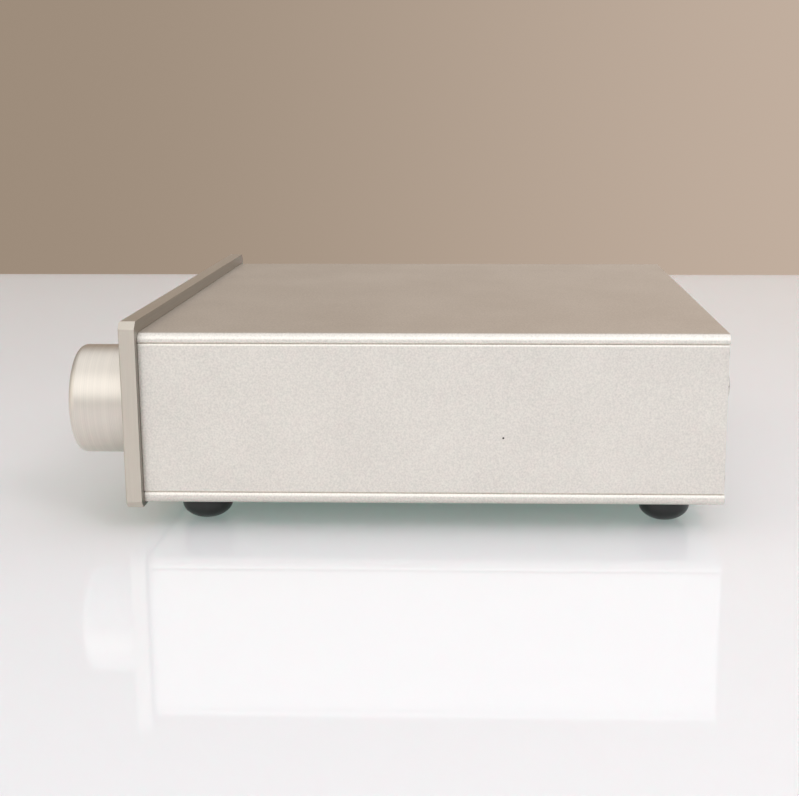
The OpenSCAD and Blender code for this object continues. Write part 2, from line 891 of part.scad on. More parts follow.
module front_board() {
    w = front_board_x1 - front_board_x0;
    color("#1f5a3a") in_case() along_y(front_board_y, front_board_y + board_t) difference() {
        translate([(front_board_x0 + front_board_x1) / 2, panel_z]) square([w, front_board_h], center = true);
        translate([phones_x, panel_z])
            square([phones_body_w + 2 * front_board_gap, phones_body_h + 2 * front_board_gap], center = true);
        for (p = POSTS)
            translate(p) circle(screw_r + screw_gap);
    }
}

module front_board_posts() {
    color("#b99a55") in_case() for (p = POSTS)
        to_front(p[0], front_board_y, p[1]) difference() {
            cylinder(r = post_r, h = front_board_y);
            translate([0, 0, -over]) cylinder(r = screw_r + thread_gap, h = board_screw_l + over);
        }
}

module front_board_screws() {
    color("#a9a6a0") in_case() for (p = POSTS)
        to_rear(p[0], front_board_back, p[1]) round_screw(board_screw_l);
}

module headphone_socket() {
    nose_l = panel_t + phones_nut_t + phones_tip;
    color("#232325") in_case() difference() {
        union() {
            along_y(0, phones_body_l) translate([phones_x, panel_z])
                square([phones_body_w, phones_body_h], center = true);
            to_front(phones_x, over, panel_z) cylinder(r = phones_nose_r, h = nose_l + over);
        }
        to_rear(phones_x, -nose_l - over, panel_z) cylinder(r = phones_bore_d / 2, h = phones_bore_l + over);
    }
}

module headphone_nut() {
    color("#c9c6c0") in_case() to_front(phones_x, -panel_t, panel_z) difference() {
        round_end(phones_nut_r, phones_nut_t, button_round);
        translate([0, 0, -over]) cylinder(r = phones_nose_r + thread_gap, h = phones_nut_t + 2 * over);
    }
}

module main_board() {
    color("#1f5a3a") in_case() translate([0, 0, board_z]) linear_extrude(board_t) difference() {
        translate([board_x0, board_front]) square([board_x1 - board_x0, board_y1 - board_front]);
        for (p = STANDOFFS)
            translate(p) circle(screw_r + screw_gap);
    }
}

module board_standoffs() {
    color("#b99a55") in_case() for (p = STANDOFFS)
        translate([p[0], p[1], floor_z]) difference() {
            cylinder(r = standoff_r, h = standoff_h, $fn = 6);
            translate([0, 0, standoff_h - standoff_bore_h])
                cylinder(r = screw_r + thread_gap, h = standoff_bore_h + over);
        }
}

module board_screws() {
    color("#a9a6a0") in_case() for (p = STANDOFFS)
        translate([p[0], p[1], board_top_z]) round_screw(board_screw_l);
}

// Filter capacitors with a crimped groove round the foot of each can
module filter_capacitors() {
    color("#27303d") in_case() for (i = [0 : cap_count - 1])
        translate([board_x0 + cap_r + standoff_inset + i * cap_pitch, cap_y, board_top_z])
            rotate_extrude() difference() {
                intersection() {
                    square([cap_r, cap_h]);
                    round_end_half(cap_r, cap_h, cap_round);
                }
                translate([cap_r, cap_groove_rise]) circle(cap_groove_r);
            }
}

module heatsink() {
    color("#3a3a3c") in_case() translate([sink_x, sink_y, board_top_z]) linear_extrude(sink_h) {
        translate([-sink_w / 2, 0]) square([sink_w, sink_t]);
        for (i = [0 : sink_fins - 1])
            translate([i * (sink_w - sink_fin_t) / (sink_fins - 1) - sink_w / 2, 0])
                square([sink_fin_t, sink_t + sink_fin_l]);
    }
}

module regulators() {
    color("#222224") in_case() for (i = [0 : regulator_count - 1])
        translate([sink_x + (i - (regulator_count - 1) / 2) * regulator_pitch, sink_y, board_top_z]) {
            translate([-regulator_w / 2, -regulator_t, regulator_rise])
                cube([regulator_w, regulator_t, regulator_h]);
            for (j = [-1 : 1])
                translate([j * regulator_w / 4 - regulator_lead_w / 2, -regulator_t / 2, 0])
                    cube([regulator_lead_w, regulator_lead_t, 2 * regulator_rise]);
        }
}

module board_chips() {
    color("#202023") in_case() {
        for (c = CHIPS)
            translate([sink_x + c[3] - c[0] / 2, chips_y + c[4] - c[1] / 2, board_top_z])
                cube([c[0], c[1], c[2]]);
        for (i = [0, 1])
            translate([relay_x, chips_y + i * relay_pitch - relay_l / 2, board_top_z])
                cube([relay_w, relay_l, relay_h]);
    }
}

// Plugs at the two ends of the flat cable
module ribbon_plugs() {
    z = panel_z - ribbon_plug_l / 2;
    color("#d9d6cc") in_case() {
        translate([ribbon_x - ribbon_w / 2, front_board_back, z])
            cube([ribbon_w, ribbon_plug_h, ribbon_plug_l]);
        translate([ribbon_x - ribbon_w / 2, board_front + ribbon_plug_inset, board_top_z])
            cube([ribbon_w, ribbon_plug_l, ribbon_plug_h]);
    }
}

// Flat cable from the front board, over a round bend, down to the main board
module ribbon_cable() {
    y0 = front_board_back + ribbon_plug_h;
    y1 = board_front + ribbon_plug_inset + ribbon_plug_l / 2 + ribbon_t / 2;
    half = ribbon_w / 2 - ribbon_edge;
    z0 = board_top_z + ribbon_plug_h;
    z1 = panel_z + ribbon_t / 2;
    color("#a7a9ac") in_case() along_x(ribbon_x - half, ribbon_x + half) {
        translate([y0, z1 - ribbon_t]) square([y1 - y0 - ribbon_bend, ribbon_t]);
        translate([y1 - ribbon_t, z0]) square([ribbon_t, z1 - z0 - ribbon_bend]);
        translate([y1 - ribbon_bend, z1 - ribbon_bend]) intersection() {
            square(ribbon_bend);
            difference() {
                circle(ribbon_bend);
                circle(ribbon_bend - ribbon_t);
            }
        }
    }
}

module transformer() {
    color("#b9a24a") in_case() translate([core_x, core_y, core_z]) rotate_extrude()
        translate([(core_r + core_bore_r) / 2, core_h / 2])
            rounded_rect(core_r - core_bore_r, core_h, core_round);
}

module transformer_pads() {
    color("#26262a") in_case() for (z = [floor_z, core_z + core_h])
        translate([core_x, core_y, z]) difference() {
            cylinder(r = core_r - pad_rim, h = pad_t);
            translate([0, 0, -over]) cylinder(r = stud_r + stud_gap, h = pad_t + 2 * over);
        }
}

module transformer_plate() {
    color("#9c9a96") in_case() translate([core_x, core_y, plate_z]) difference() {
        round_end(core_r - plate_rim, plate_t, plate_t / 2);
        translate([0, 0, -over]) cylinder(r = stud_r + stud_gap, h = plate_t + 2 * over);
    }
}

module transformer_stud() {
    color("#a9a6a0") in_case() translate([core_x, core_y, floor_z])
        cylinder(r = stud_r, h = plate_z - floor_z + plate_t + stud_nut_h + stud_tip);
}

module transformer_nut() {
    color("#a9a6a0") in_case() translate([core_x, core_y, plate_z + plate_t])
        hex_nut(stud_nut_r, stud_nut_h, stud_r + thread_gap);
}

// Barrels with a flange outside the rear panel and a threaded neck through it
module line_socket_shells() {
    color("#cfc6a8") in_case() for (x = JACKS_X)
        to_rear(x, rear_y, jack_z) difference() {
            union() {
                cylinder(r = flange_r, h = flange_t);
                cylinder(r = barrel_r, h = flange_t + barrel_l);
                translate([0, 0, -jack_thread_l])
                    cylinder(r = jack_thread_r, h = jack_thread_l + flange_t / 2);
            }
            translate([0, 0, -jack_thread_l - over])
                cylinder(r = sleeve_r, h = jack_thread_l + flange_t + barrel_l + 2 * over);
        }
}

// Insulating sleeve between a line socket's barrel and its contact
module sleeve(x) {
    in_case() to_rear(x, rear_y, jack_z) difference() {
        translate([0, 0, -jack_thread_l])
            cylinder(r = sleeve_r - jack_gap, h = jack_thread_l + flange_t + barrel_l - sleeve_dip);
        translate([0, 0, -jack_thread_l - over])
            cylinder(r = contact_r + jack_gap, h = jack_thread_l + flange_t + barrel_l + 2 * over);
    }
}

module coax_sleeve() {
    color("#2a2a2c") sleeve(coax_x);
}

module right_sleeve() {
    color("#b3302a") sleeve(right_out_x);
}

module left_sleeve() {
    color("#e9e6df") sleeve(left_out_x);
}

module line_contacts() {
    tip = flange_t + barrel_l - sleeve_dip - contact_dip;
    color("#cfc6a8") in_case() for (x = JACKS_X)
        to_rear(x, rear_y, jack_z) difference() {
            union() {
                translate([0, 0, -jack_thread_l]) cylinder(r = contact_r, h = jack_thread_l + tip);
                translate([0, 0, -jack_thread_l - contact_tail_l])
                    cylinder(r = contact_tail_r, h = contact_tail_l + over);
            }
            translate([0, 0, tip - contact_bore_l])
                cylinder(r = contact_bore_d / 2, h = contact_bore_l + over);
        }
}

module line_socket_nuts() {
    color("#c9c6c0") in_case() for (x = JACKS_X)
        to_front(x, rear_in_y, jack_z) hex_nut(jack_nut_r, jack_nut_t, jack_thread_r + thread_gap);
}

module usb_shell() {
    front = rear_y + socket_proud;
    color("#c4c3c0") in_case() translate([usb_x, 0, usb_z]) difference() {
        along_y(front - usb_l, front) square([usb_w, usb_h], center = true);
        along_y(front - usb_mouth_l, front + over) house_outline(usb_mouth_w, usb_mouth_h, usb_mouth_cut);
    }
}

module usb_tongue() {
    front = rear_y + socket_proud;
    color("#efece4") in_case() translate([usb_x, 0, usb_z])
        along_y(front - usb_mouth_l, front - usb_tongue_dip)
            square([usb_tongue_w, usb_tongue_h], center = true);
}

module optical_socket() {
    front = rear_y + socket_proud;
    color("#1c1c1e") in_case() translate([optical_x, 0, optical_z]) difference() {
        along_y(front - optical_l, front) square([optical_w, optical_h], center = true);
        along_y(front - optical_mouth_l, front + over)
            house_outline(optical_mouth, optical_mouth, optical_mouth_cut);
        to_rear(0, front - optical_mouth_l - optical_lens_l, 0)
            cylinder(r = optical_lens_r, h = optical_lens_l + over);
    }
}

module mains_inlet() {
    front = rear_y + inlet_flange_t;
    color("#1b1b1d") in_case() translate([inlet_x, 0, inlet_z]) difference() {
        union() {
            along_y(rear_y, front) rounded_rect(inlet_flange_w, inlet_flange_h, inlet_flange_r);
            along_y(rear_y - inlet_body_l, rear_y + over) square([inlet_body_w, inlet_body_h], center = true);
        }
        along_y(front - inlet_mouth_l, front + over)
            house_outline(inlet_mouth_w, inlet_mouth_h, inlet_mouth_cut);
        for (s = [-1, 1])
            to_rear(s * inlet_hole_pitch / 2, front, 0) flat_screw_hole(inlet_flange_t + over);
        for (i = [-1 : 1])
            along_y(rear_y - inlet_body_l - over, front) translate([blade_x(i) - inlet_x, blade_z(i)])
                square([blade_w + 2 * jack_gap, blade_h + 2 * jack_gap], center = true);
    }
}

// Place of a blade along X
function blade_x(i) = inlet_x + i * blade_pitch / 2;

// Height of a blade from the middle of the inlet: the middle one stands higher
function blade_z(i) = (i == 0 ? 1 : -1) * blade_offset / 2;

module mains_blades() {
    back = rear_y + inlet_flange_t - inlet_mouth_l;
    color("#c9c4b4") in_case() for (i = [-1 : 1])
        along_y(blade_tail_y, back + blade_l)
            translate([blade_x(i), inlet_z + blade_z(i)]) square([blade_w, blade_h], center = true);
}

module inlet_screws() {
    color("#8f8c88") in_case() for (s = [-1, 1])
        to_rear(inlet_x + s * inlet_hole_pitch / 2, rear_y + inlet_flange_t, inlet_z)
            flat_screw(inlet_screw_l);
}

module inlet_nuts() {
    color("#a9a6a0") in_case() for (s = [-1, 1])
        to_front(inlet_x + s * inlet_hole_pitch / 2, rear_in_y, inlet_z)
            hex_nut(inlet_nut_r, inlet_nut_t, screw_r + thread_gap);
}

// Unit vector
function unit(v) = v / norm(v);

// Turns X and Y of a shape to two square directions, with its origin at a place
module facing(place, x, y) {
    z = cross(x, y);
    multmatrix([for (i = [0 : 2]) [x[i], y[i], z[i], place[i]]]) children();
}

// Round lead along a path with square corners, each turned with a quarter of a ring
module lead(path, r) {
    last = len(path) - 1;
    bend = r * lead_bends;
    for (i = [0 : last - 1]) {
        along = unit(path[i + 1] - path[i]);
        start = path[i] + (i > 0 ? bend : 0) * along;
        end = path[i + 1] - (i < last - 1 ? bend : 0) * along;
        side = abs(along[2]) > 0 ? [1, 0, 0] : [0, 0, 1];
        facing(start, side, cross(along, side)) cylinder(r = r, h = norm(end - start), $fn = 24);
    }
    for (i = [1 : last - 1]) {
        into = unit(path[i] - path[i - 1]);
        out = unit(path[i + 1] - path[i]);
        facing(path[i] + (out - into) * bend, -out, into)
            rotate_extrude(angle = 90) translate([bend, 0]) circle(r, $fn = 24);
    }
}

// Live, neutral and earth leads from the inlet, and the switched pair that returns to the transformer
module mains_leads() {
    color("#3b4a63") in_case() {
        for (i = [-1, 1]) {
            x = blade_x(i);
            z = inlet_z + blade_z(i);
            rise_y = blade_tail_y - mains_drop;
            up = [[x, blade_tail_y, z], [x, rise_y, z], [x, rise_y, lane_z], [x, lane_y, lane_z]];
            jog = i > 0 ? [[x - mains_jog, lane_y, lane_z]] : [];
            x_down = i > 0 ? x - mains_jog : x;
            down = [[x_down, lane_y, switch_lead_z], [x_down, front_board_back, switch_lead_z]];
            lead(concat(up, jog, down), mains_lead_r);
        }
        for (s = [-1, 1]) {
            x = power_x + s * mains_lead_pitch / 2;
            y = return_y + (1 - s) / 2 * mains_lead_row;
            x_end = core_x + s * mains_lead_pitch / 2;
            lead([[x, front_board_back, winding_z], [x, y, winding_z], [x_end, y, winding_z],
                [x_end, core_y - core_r, winding_z]], mains_lead_r);
        }
        earth = [inlet_x, blade_tail_y - earth_drop, inlet_z + blade_z(0)];
        lead([[earth[0], blade_tail_y, earth[2]], earth, [earth[0], earth[1], floor_z]], mains_lead_r);
        translate([earth[0], earth[1], floor_z]) cylinder(r = earth_tag_r, h = earth_tag_t);
    }
}

// Leads to the main board from the transformer, the volume control, the headphone and the line sockets
module signal_leads() {
    color("#8a2f2b") in_case() for (i = [-1 : 1]) {
        secondary = [board_x0 + secondary_in, core_y + i * lead_pitch];
        lead([[core_x + core_r, secondary[1], winding_z], [secondary[0], secondary[1], winding_z],
            [secondary[0], secondary[1], board_top_z]], lead_r);
        pin_end = pot_l + track_t / 2 + track_pin_l;
        lead([[track_pin_x(i), pin_end, track_pin_z], [track_pin_x(i), land_y, track_pin_z],
            [track_pin_x(i), land_y, board_top_z]], lead_r);
        phones = [phones_x + i * lead_pitch, phones_lead_y + (1 - i) * lead_pitch];
        x_end = phones_lead_x + (1 + i) * lead_pitch;
        lead([[phones[0], phones_body_l, phones_lead_z], [phones[0], phones[1], phones_lead_z],
            [x_end, phones[1], phones_lead_z], [x_end, land_y, phones_lead_z],
            [x_end, land_y, board_top_z]], lead_r);
        line = [JACKS_X[i + 1], line_tail_y - lead_r * (lead_bends + 1)];
        lead([[line[0], line_tail_y, jack_z], [line[0], line[1], jack_z],
            [line[0], line[1], board_top_z]], lead_r);
    }
}

front_panel();
top_cover();
bottom_cover();
left_side_panel();
right_side_panel();
rear_panel();
front_panel_screws();
rear_panel_screws();
foot_front_left();
foot_front_right();
foot_rear_left();
foot_rear_right();
volume_knob();
knob_set_screw();
pot_shaft();
pot_rotor();
pot_housing();
pot_track();
pot_washer();
pot_nut();
power_button();
power_plunger();
power_switch();
select_button();
select_switch();
indicators();
front_board();
front_board_posts();
front_board_screws();
headphone_socket();
headphone_nut();
main_board();
board_standoffs();
board_screws();
filter_capacitors();
heatsink();
regulators();
board_chips();
ribbon_plugs();
ribbon_cable();
transformer();
transformer_pads();
transformer_plate();
transformer_stud();
transformer_nut();
line_socket_shells();
coax_sleeve();
right_sleeve();
left_sleeve();
line_contacts();
line_socket_nuts();
usb_shell();
usb_tongue();
optical_socket();
mains_inlet();
mains_blades();
inlet_screws();
inlet_nuts();
mains_leads();
signal_leads();
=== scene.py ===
"""Looks of a desktop digital-to-analog converter: its finishes, its fine pieces and its studio."""

import logging
import math
from dataclasses import dataclass
from enum import Enum
from typing import Any, Callable, ClassVar, Mapping, Sequence

import bmesh
import bpy
from mathutils import Matrix, Vector


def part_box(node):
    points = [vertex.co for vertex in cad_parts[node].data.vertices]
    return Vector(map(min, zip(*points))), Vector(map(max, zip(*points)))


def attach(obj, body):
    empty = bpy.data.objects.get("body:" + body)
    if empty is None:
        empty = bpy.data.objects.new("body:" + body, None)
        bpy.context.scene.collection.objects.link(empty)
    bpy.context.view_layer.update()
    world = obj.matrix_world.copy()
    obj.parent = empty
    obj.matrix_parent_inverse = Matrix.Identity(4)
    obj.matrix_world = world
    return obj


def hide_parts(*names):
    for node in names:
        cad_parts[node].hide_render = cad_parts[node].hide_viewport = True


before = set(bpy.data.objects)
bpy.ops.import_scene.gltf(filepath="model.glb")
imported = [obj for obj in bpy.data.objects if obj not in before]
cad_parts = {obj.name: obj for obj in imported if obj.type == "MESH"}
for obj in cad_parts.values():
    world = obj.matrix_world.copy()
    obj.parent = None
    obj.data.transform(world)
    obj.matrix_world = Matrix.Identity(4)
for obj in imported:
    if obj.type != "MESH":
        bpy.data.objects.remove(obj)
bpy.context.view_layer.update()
LOG = logging.getLogger("converter")
Colour = tuple[float, float, float, float]
Place = tuple[float, float, float]
Profile = Sequence[tuple[float, float]]
Sockets = Mapping[str, bpy.types.NodeSocket]

MM = 0.001
FULL_TURN = 2 * math.pi
# Places nearer than SAME are taken as one, and corners nearer than MERGE_GAP are merged.
SAME = 0.01 * MM
MERGE_GAP = 0.002 * MM
# Faces that meet at less than this angle are made one face.
FLAT_ANGLE = math.radians(0.4)
# The Mix node's sockets share their names, so these numbers tell them apart.
VALUE_A, VALUE_B, COLOUR_A, COLOUR_B, COLOUR_OUT = 2, 3, 6, 7, 2


def linear(code: str, level: float = 1.0) -> Colour:
    """Turn an sRGB hex code to linear light.

    Args:
        code: Six hex digits, such as "d8d3cb".
        level: What the light is multiplied by.

    Returns:
        Red, green, blue and an alpha of 1.
    """
    parts = [int(code[i:i + 2], 16) / 255 for i in (0, 2, 4)]
    light = [c / 12.92 if c <= 0.04045 else ((c + 0.055) / 1.055) ** 2.4 for c in parts]
    return (light[0] * level, light[1] * level, light[2] * level, 1.0)


def add(tree: bpy.types.NodeTree, kind: str, settings: Mapping[Any, Any] | None = None,
        links: Mapping[Any, bpy.types.NodeSocket] | None = None) -> bpy.types.Node:
    """Add a node with its settings and links.

    Args:
        tree: The node tree.
        kind: The node's type name.
        settings: Values by input name or number, or by the node's own attribute.
        links: Output sockets by the input that they feed.

    Returns:
        The new node.
    """
    node = tree.nodes.new(kind)
    for key, value in (settings or {}).items():
        if isinstance(key, str) and key not in node.inputs:
            setattr(node, key, value)
        else:
            node.inputs[key].default_value = value
    for key, socket in (links or {}).items():
        tree.links.new(socket, node.inputs[key])
    return node


class Across(Enum):
    """The two ways in which a plate's faces are brushed."""

    ALONG_X = 0
    ALONG_Z = 2


class Ribs(Enum):
    """The two ways in which a striped piece's ribs follow each other."""

    ALONG_X = "X"
    SLANTING = "DIAGONAL"


class Spindle(Enum):
    """The two ways in which a turned piece's axis lies."""

    LEVEL = (0.0, 1.0, 0.0)
    UPRIGHT = (0.0, 0.0, 1.0)


@dataclass(frozen=True)
class Surface:
    """A new material's node tree, its shader and the outputs of its Texture Coordinate node."""

    tree: bpy.types.NodeTree
    shader: bpy.types.Node
    place: Sockets


@dataclass(frozen=True)
class Finish:
    """A surface as it was made, which can be put on any piece.

    Its pattern is drawn on Object coordinates, so the sizes are real millimetres. The pattern takes the
    colour off its middle by the contrast, as a share, and the roughness by the sheen.
    """

    name: str
    colour: str
    roughness: float
    contrast: float = 0.06
    sheen: float = 0.05
    relief_mm: float = 0.01
    metallic: ClassVar[float] = 0.0
    # A noise keeps mostly between these two values.
    usual: ClassVar[tuple[float, float]] = (0.25, 0.75)

    def material(self) -> bpy.types.Material:
        """Build the material of this finish, the first time that it is asked for.

        Returns:
            The material.
        """
        made = bpy.data.materials.get(self.name)
        if made is None:
            made = bpy.data.materials.new(self.name)
            made.use_nodes = True
            tree = made.node_tree
            shader = tree.nodes["Principled BSDF"]
            shader.inputs["Metallic"].default_value = self.metallic
            self.shade(Surface(tree, shader, add(tree, "ShaderNodeTexCoord").outputs))
        return made

    def shade(self, on: Surface) -> None:
        """Draw the surface's pattern into the shader.

        Args:
            on: The surface that is drawn on.
        """
        raise NotImplementedError

    def tone(self, on: Surface, pattern: bpy.types.NodeSocket) -> bpy.types.NodeSocket:
        """Let one pattern vary the colour, the roughness and the relief.

        Args:
            on: The surface that is drawn on.
            pattern: The pattern's value.

        Returns:
            The colour that feeds the shader.
        """
        low, high = self.usual
        share = add(on.tree, "ShaderNodeMapRange", {"From Min": low, "From Max": high}, {"Value": pattern})
        colour = add(on.tree, "ShaderNodeMix",
                     {"data_type": "RGBA", COLOUR_A: linear(self.colour, 1 - self.contrast),
                      COLOUR_B: linear(self.colour, 1 + self.contrast)}, {0: share.outputs[0]})
        gloss = add(on.tree, "ShaderNodeMapRange",
                    {"To Min": self.roughness - self.sheen, "To Max": self.roughness + self.sheen},
                    {"Value": share.outputs[0]})
        relief = add(on.tree, "ShaderNodeBump", {"Strength": 1.0, "Distance": self.relief_mm * MM},
                     {"Height": pattern})
        on.tree.links.new(colour.outputs[COLOUR_OUT], on.shader.inputs["Base Color"])
        on.tree.links.new(gloss.outputs[0], on.shader.inputs["Roughness"])
        on.tree.links.new(relief.outputs[0], on.shader.inputs["Normal"])
        return colour.outputs[COLOUR_OUT]


@dataclass(frozen=True)
class BlastedMetal(Finish):
    """Aluminium blasted with fine beads and clear anodised: an even, soft shine with a fine sparkle.

    The beads leave pits of about 0.1 mm, drawn here five or six times as large so that they show.
    """

    contrast: float = 0.13
    relief_mm: float = 0.04
    grit_mm: float = 0.62
    cloud_mm: float = 26.0
    cloud_share: float = 0.22
    nick_at: Place | None = None
    nick_mm: float = 0.42
    nick_core: float = 0.6
    nick_colour: str = "3a342e"
    metallic: ClassVar[float] = 1.0

    def shade(self, on: Surface) -> None:
        """Draw the blasted grain, its faint clouds and, where there is one, a nick.

        Args:
            on: The surface that is drawn on.
        """
        grain, cloud = [add(on.tree, "ShaderNodeTexNoise", {"Scale": 1 / (size * MM), "Detail": detail},
                            {"Vector": on.place["Object"]}).outputs[0]
                        for size, detail in ((self.grit_mm, 1.5), (self.cloud_mm, 2.0))]
        both = add(on.tree, "ShaderNodeMix", {0: self.cloud_share}, {VALUE_A: grain, VALUE_B: cloud})
        colour = self.tone(on, both.outputs[0])
        if self.nick_at is None:
            return
        away = add(on.tree, "ShaderNodeVectorMath", {"operation": "DISTANCE", 1: self.nick_at},
                   {0: on.place["Object"]})
        bare = add(on.tree, "ShaderNodeMapRange",
                   {"From Min": self.nick_core * self.nick_mm * MM, "From Max": self.nick_mm * MM},
                   {"Value": away.outputs["Value"]})
        nicked = add(on.tree, "ShaderNodeMix", {"data_type": "RGBA", COLOUR_A: linear(self.nick_colour)},
                     {0: bare.outputs[0], COLOUR_B: colour})
        on.tree.links.new(nicked.outputs[COLOUR_OUT], on.shader.inputs["Base Color"])


@dataclass(frozen=True)
class BrushedMetal(Finish):
    """Aluminium brushed with a fine belt and clear anodised: long hairlines that run along each face.

    The hairlines are about 0.05 mm wide, drawn here four times wider so that they show. The back, the face
    that looks along Y, is painted darker as painted shade.
    """

    contrast: float = 0.05
    sheen: float = 0.06
    relief_mm: float = 0.012
    line_mm: float = 0.22
    run_mm: float = 30.0
    # Painted shade: the darker colour that the back, the face that looks along Y, takes.
    back: str = "9b958b"
    # A face whose normal has more than this share along an axis is taken to face that way.
    square_on: float = 0.75
    metallic: ClassVar[float] = 1.0

    def shade(self, on: Surface) -> None:
        """Draw hairlines along X, and along Z on the two upright ends, and paint shade on the back.

        Args:
            on: The surface that is drawn on.
        """
        drawn = []
        for across in Across:
            scale = [1 / (self.line_mm * MM)] * 3
            scale[across.value] = 1 / (self.run_mm * MM)
            stretched = add(on.tree, "ShaderNodeMapping", {"Scale": scale}, {"Vector": on.place["Object"]})
            drawn.append(add(on.tree, "ShaderNodeTexNoise", {"Scale": 1.0, "Detail": 3.0},
                             {"Vector": stretched.outputs[0]}).outputs[0])
        normal = add(on.tree, "ShaderNodeSeparateXYZ", links={0: on.place["Normal"]})
        sideways = add(on.tree, "ShaderNodeMath", {"operation": "ABSOLUTE"}, {0: normal.outputs["X"]})
        # rear picks the faces that look along Y, which get the painted shade below.
        ends, rear = [add(on.tree, "ShaderNodeMath", {"operation": "GREATER_THAN", 1: self.square_on},
                          {0: share}).outputs[0] for share in (sideways.outputs[0], normal.outputs["Y"])]
        lines = add(on.tree, "ShaderNodeMix", links={0: ends, VALUE_A: drawn[0], VALUE_B: drawn[1]})
        colour = self.tone(on, lines.outputs[0])
        # Painted shade: the faces that look along Y take the darker back colour.
        painted_back_shade = add(on.tree, "ShaderNodeMix", {"data_type": "RGBA", COLOUR_B: linear(self.back)},
                    {0: rear, COLOUR_A: colour})
        on.tree.links.new(painted_back_shade.outputs[COLOUR_OUT], on.shader.inputs["Base Color"])


@dataclass(frozen=True)
class TurnedMetal(Finish):
    """Aluminium turned on a lathe: fine rings round the axis, with broader bands from the feed.

    The rings follow one length that runs in along the face and back along the side. They stretch every
    reflection across themselves, so light runs along the side of a knob and out from the middle of its face.
    A fine cut leaves a ring every 0.1 mm, drawn here about twice as coarse so that it shows.
    """

    contrast: float = 0.05
    relief_mm: float = 0.008
    axis: tuple[float, float] = (0.0, 0.0)
    ring_mm: float = 0.25
    band_mm: float = 2.4
    band_share: float = 0.5
    stretch: float = 0.5
    metallic: ClassVar[float] = 1.0
    quarter_turn: ClassVar[float] = 0.25

    def shade(self, on: Surface) -> None:
        """Draw rings round the axis, which lies along Y.

        Args:
            on: The surface that is drawn on.
        """
        centred = add(on.tree, "ShaderNodeMapping", {"Location": (-self.axis[0], 0.0, -self.axis[1])},
                      {"Vector": on.place["Object"]})
        parts = add(on.tree, "ShaderNodeSeparateXYZ", links={0: centred.outputs[0]})
        flat = add(on.tree, "ShaderNodeCombineXYZ", links={"X": parts.outputs["X"], "Z": parts.outputs["Z"]})
        radius = add(on.tree, "ShaderNodeVectorMath", {"operation": "LENGTH"}, {0: flat.outputs[0]})
        path = add(on.tree, "ShaderNodeMath", {"operation": "SUBTRACT"},
                   {0: parts.outputs["Y"], 1: radius.outputs["Value"]})
        rings, bands = [add(on.tree, "ShaderNodeTexNoise",
                            {"noise_dimensions": "1D", "Scale": 1 / (size * MM), "Detail": 1.0},
                            {"W": path.outputs[0]}).outputs[0] for size in (self.ring_mm, self.band_mm)]
        both = add(on.tree, "ShaderNodeMix", {0: self.band_share}, {VALUE_A: rings, VALUE_B: bands})
        self.tone(on, both.outputs[0])
        round_axis = add(on.tree, "ShaderNodeTangent", {"direction_type": "RADIAL", "axis": "Y"})
        on.tree.links.new(round_axis.outputs[0], on.shader.inputs["Tangent"])
        on.shader.inputs["Anisotropic"].default_value = self.stretch
        on.shader.inputs["Anisotropic Rotation"].default_value = self.quarter_turn


@dataclass(frozen=True)
class PlatedMetal(Finish):
    """Plated, blackened or cast metal: a mottled sheen with faint handling marks."""

    sheen: float = 0.06
    relief_mm: float = 0.006
    mottle_mm: float = 1.2
    metallic: ClassVar[float] = 1.0

    def shade(self, on: Surface) -> None:
        """Draw the mottle."""
        mottle = add(on.tree, "ShaderNodeTexNoise", {"Scale": 1 / (self.mottle_mm * MM), "Detail": 4.0},
                     {"Vector": on.place["Object"]})
        self.tone(on, mottle.outputs[0])


@dataclass(frozen=True)
class Moulded(Finish):
    """Moulded plastic or rubber: the mould's fine grain and a slight flow mark in the colour.

    A mould's grain is about 0.1 mm, drawn here two or more times as coarse so that it shows.
    """

    contrast: float = 0.08
    sheen: float = 0.04
    relief_mm: float = 0.012
    grain_mm: float = 0.3
    ior: float = 1.5

    def shade(self, on: Surface) -> None:
        """Draw the grain.

        Args:
            on: The surface that is drawn on.
        """
        on.shader.inputs["IOR"].default_value = self.ior
        grain = add(on.tree, "ShaderNodeTexNoise", {"Scale": 1 / (self.grain_mm * MM), "Detail": 2.0},
                    {"Vector": on.place["Object"]})
        self.tone(on, grain.outputs[0])


@dataclass(frozen=True)
class ClearResin(Finish):
    """Cast lamp resin: clear at the skin, with a faint haze inside."""

    sheen: float = 0.04
    relief_mm: float = 0.002
    haze_mm: float = 0.8
    clearness: float = 0.55

    def shade(self, on: Surface) -> None:
        """Draw the haze and let light through.

        Args:
            on: The surface that is drawn on.
        """
        on.shader.inputs["Transmission Weight"].default_value = self.clearness
        haze = add(on.tree, "ShaderNodeTexNoise", {"Scale": 1 / (self.haze_mm * MM), "Detail": 2.0},
                   {"Vector": on.place["Object"]})
        self.tone(on, haze.outputs[0])


@dataclass(frozen=True)
class SolderMask(Finish):
    """Glass-fibre board under solder mask: copper tracks stand up faintly and look paler."""

    contrast: float = 0.25
    sheen: float = 0.06
    relief_mm: float = 0.03
    track_mm: float = 4.0

    def shade(self, on: Surface) -> None:
        """Draw the tracks as the straight edges of cells."""
        cells = add(on.tree, "ShaderNodeTexVoronoi",
                    {"distance": "MANHATTAN", "Scale": 1 / (self.track_mm * MM)},
                    {"Vector": on.place["Object"]})
        self.tone(on, cells.outputs[0])


@dataclass(frozen=True)
class Striped(Finish):
    """Flat cable or wound tape: parallel ribs, each a little paler on its crown."""

    contrast: float = 0.15
    relief_mm: float = 0.05
    pitch_mm: float = 1.27
    waver: float = 0.6
    ribs: Ribs = Ribs.ALONG_X
    # A wave of scale 1 repeats at this length.
    wave_length: ClassVar[float] = math.pi / 10

    def shade(self, on: Surface) -> None:
        """Draw the ribs."""
        ribs = add(on.tree, "ShaderNodeTexWave",
                   {"bands_direction": self.ribs.value, "Distortion": self.waver, "Detail": 1.0,
                    "Scale": self.wave_length / (self.pitch_mm * MM)}, {"Vector": on.place["Object"]})
        self.tone(on, ribs.outputs["Fac"])


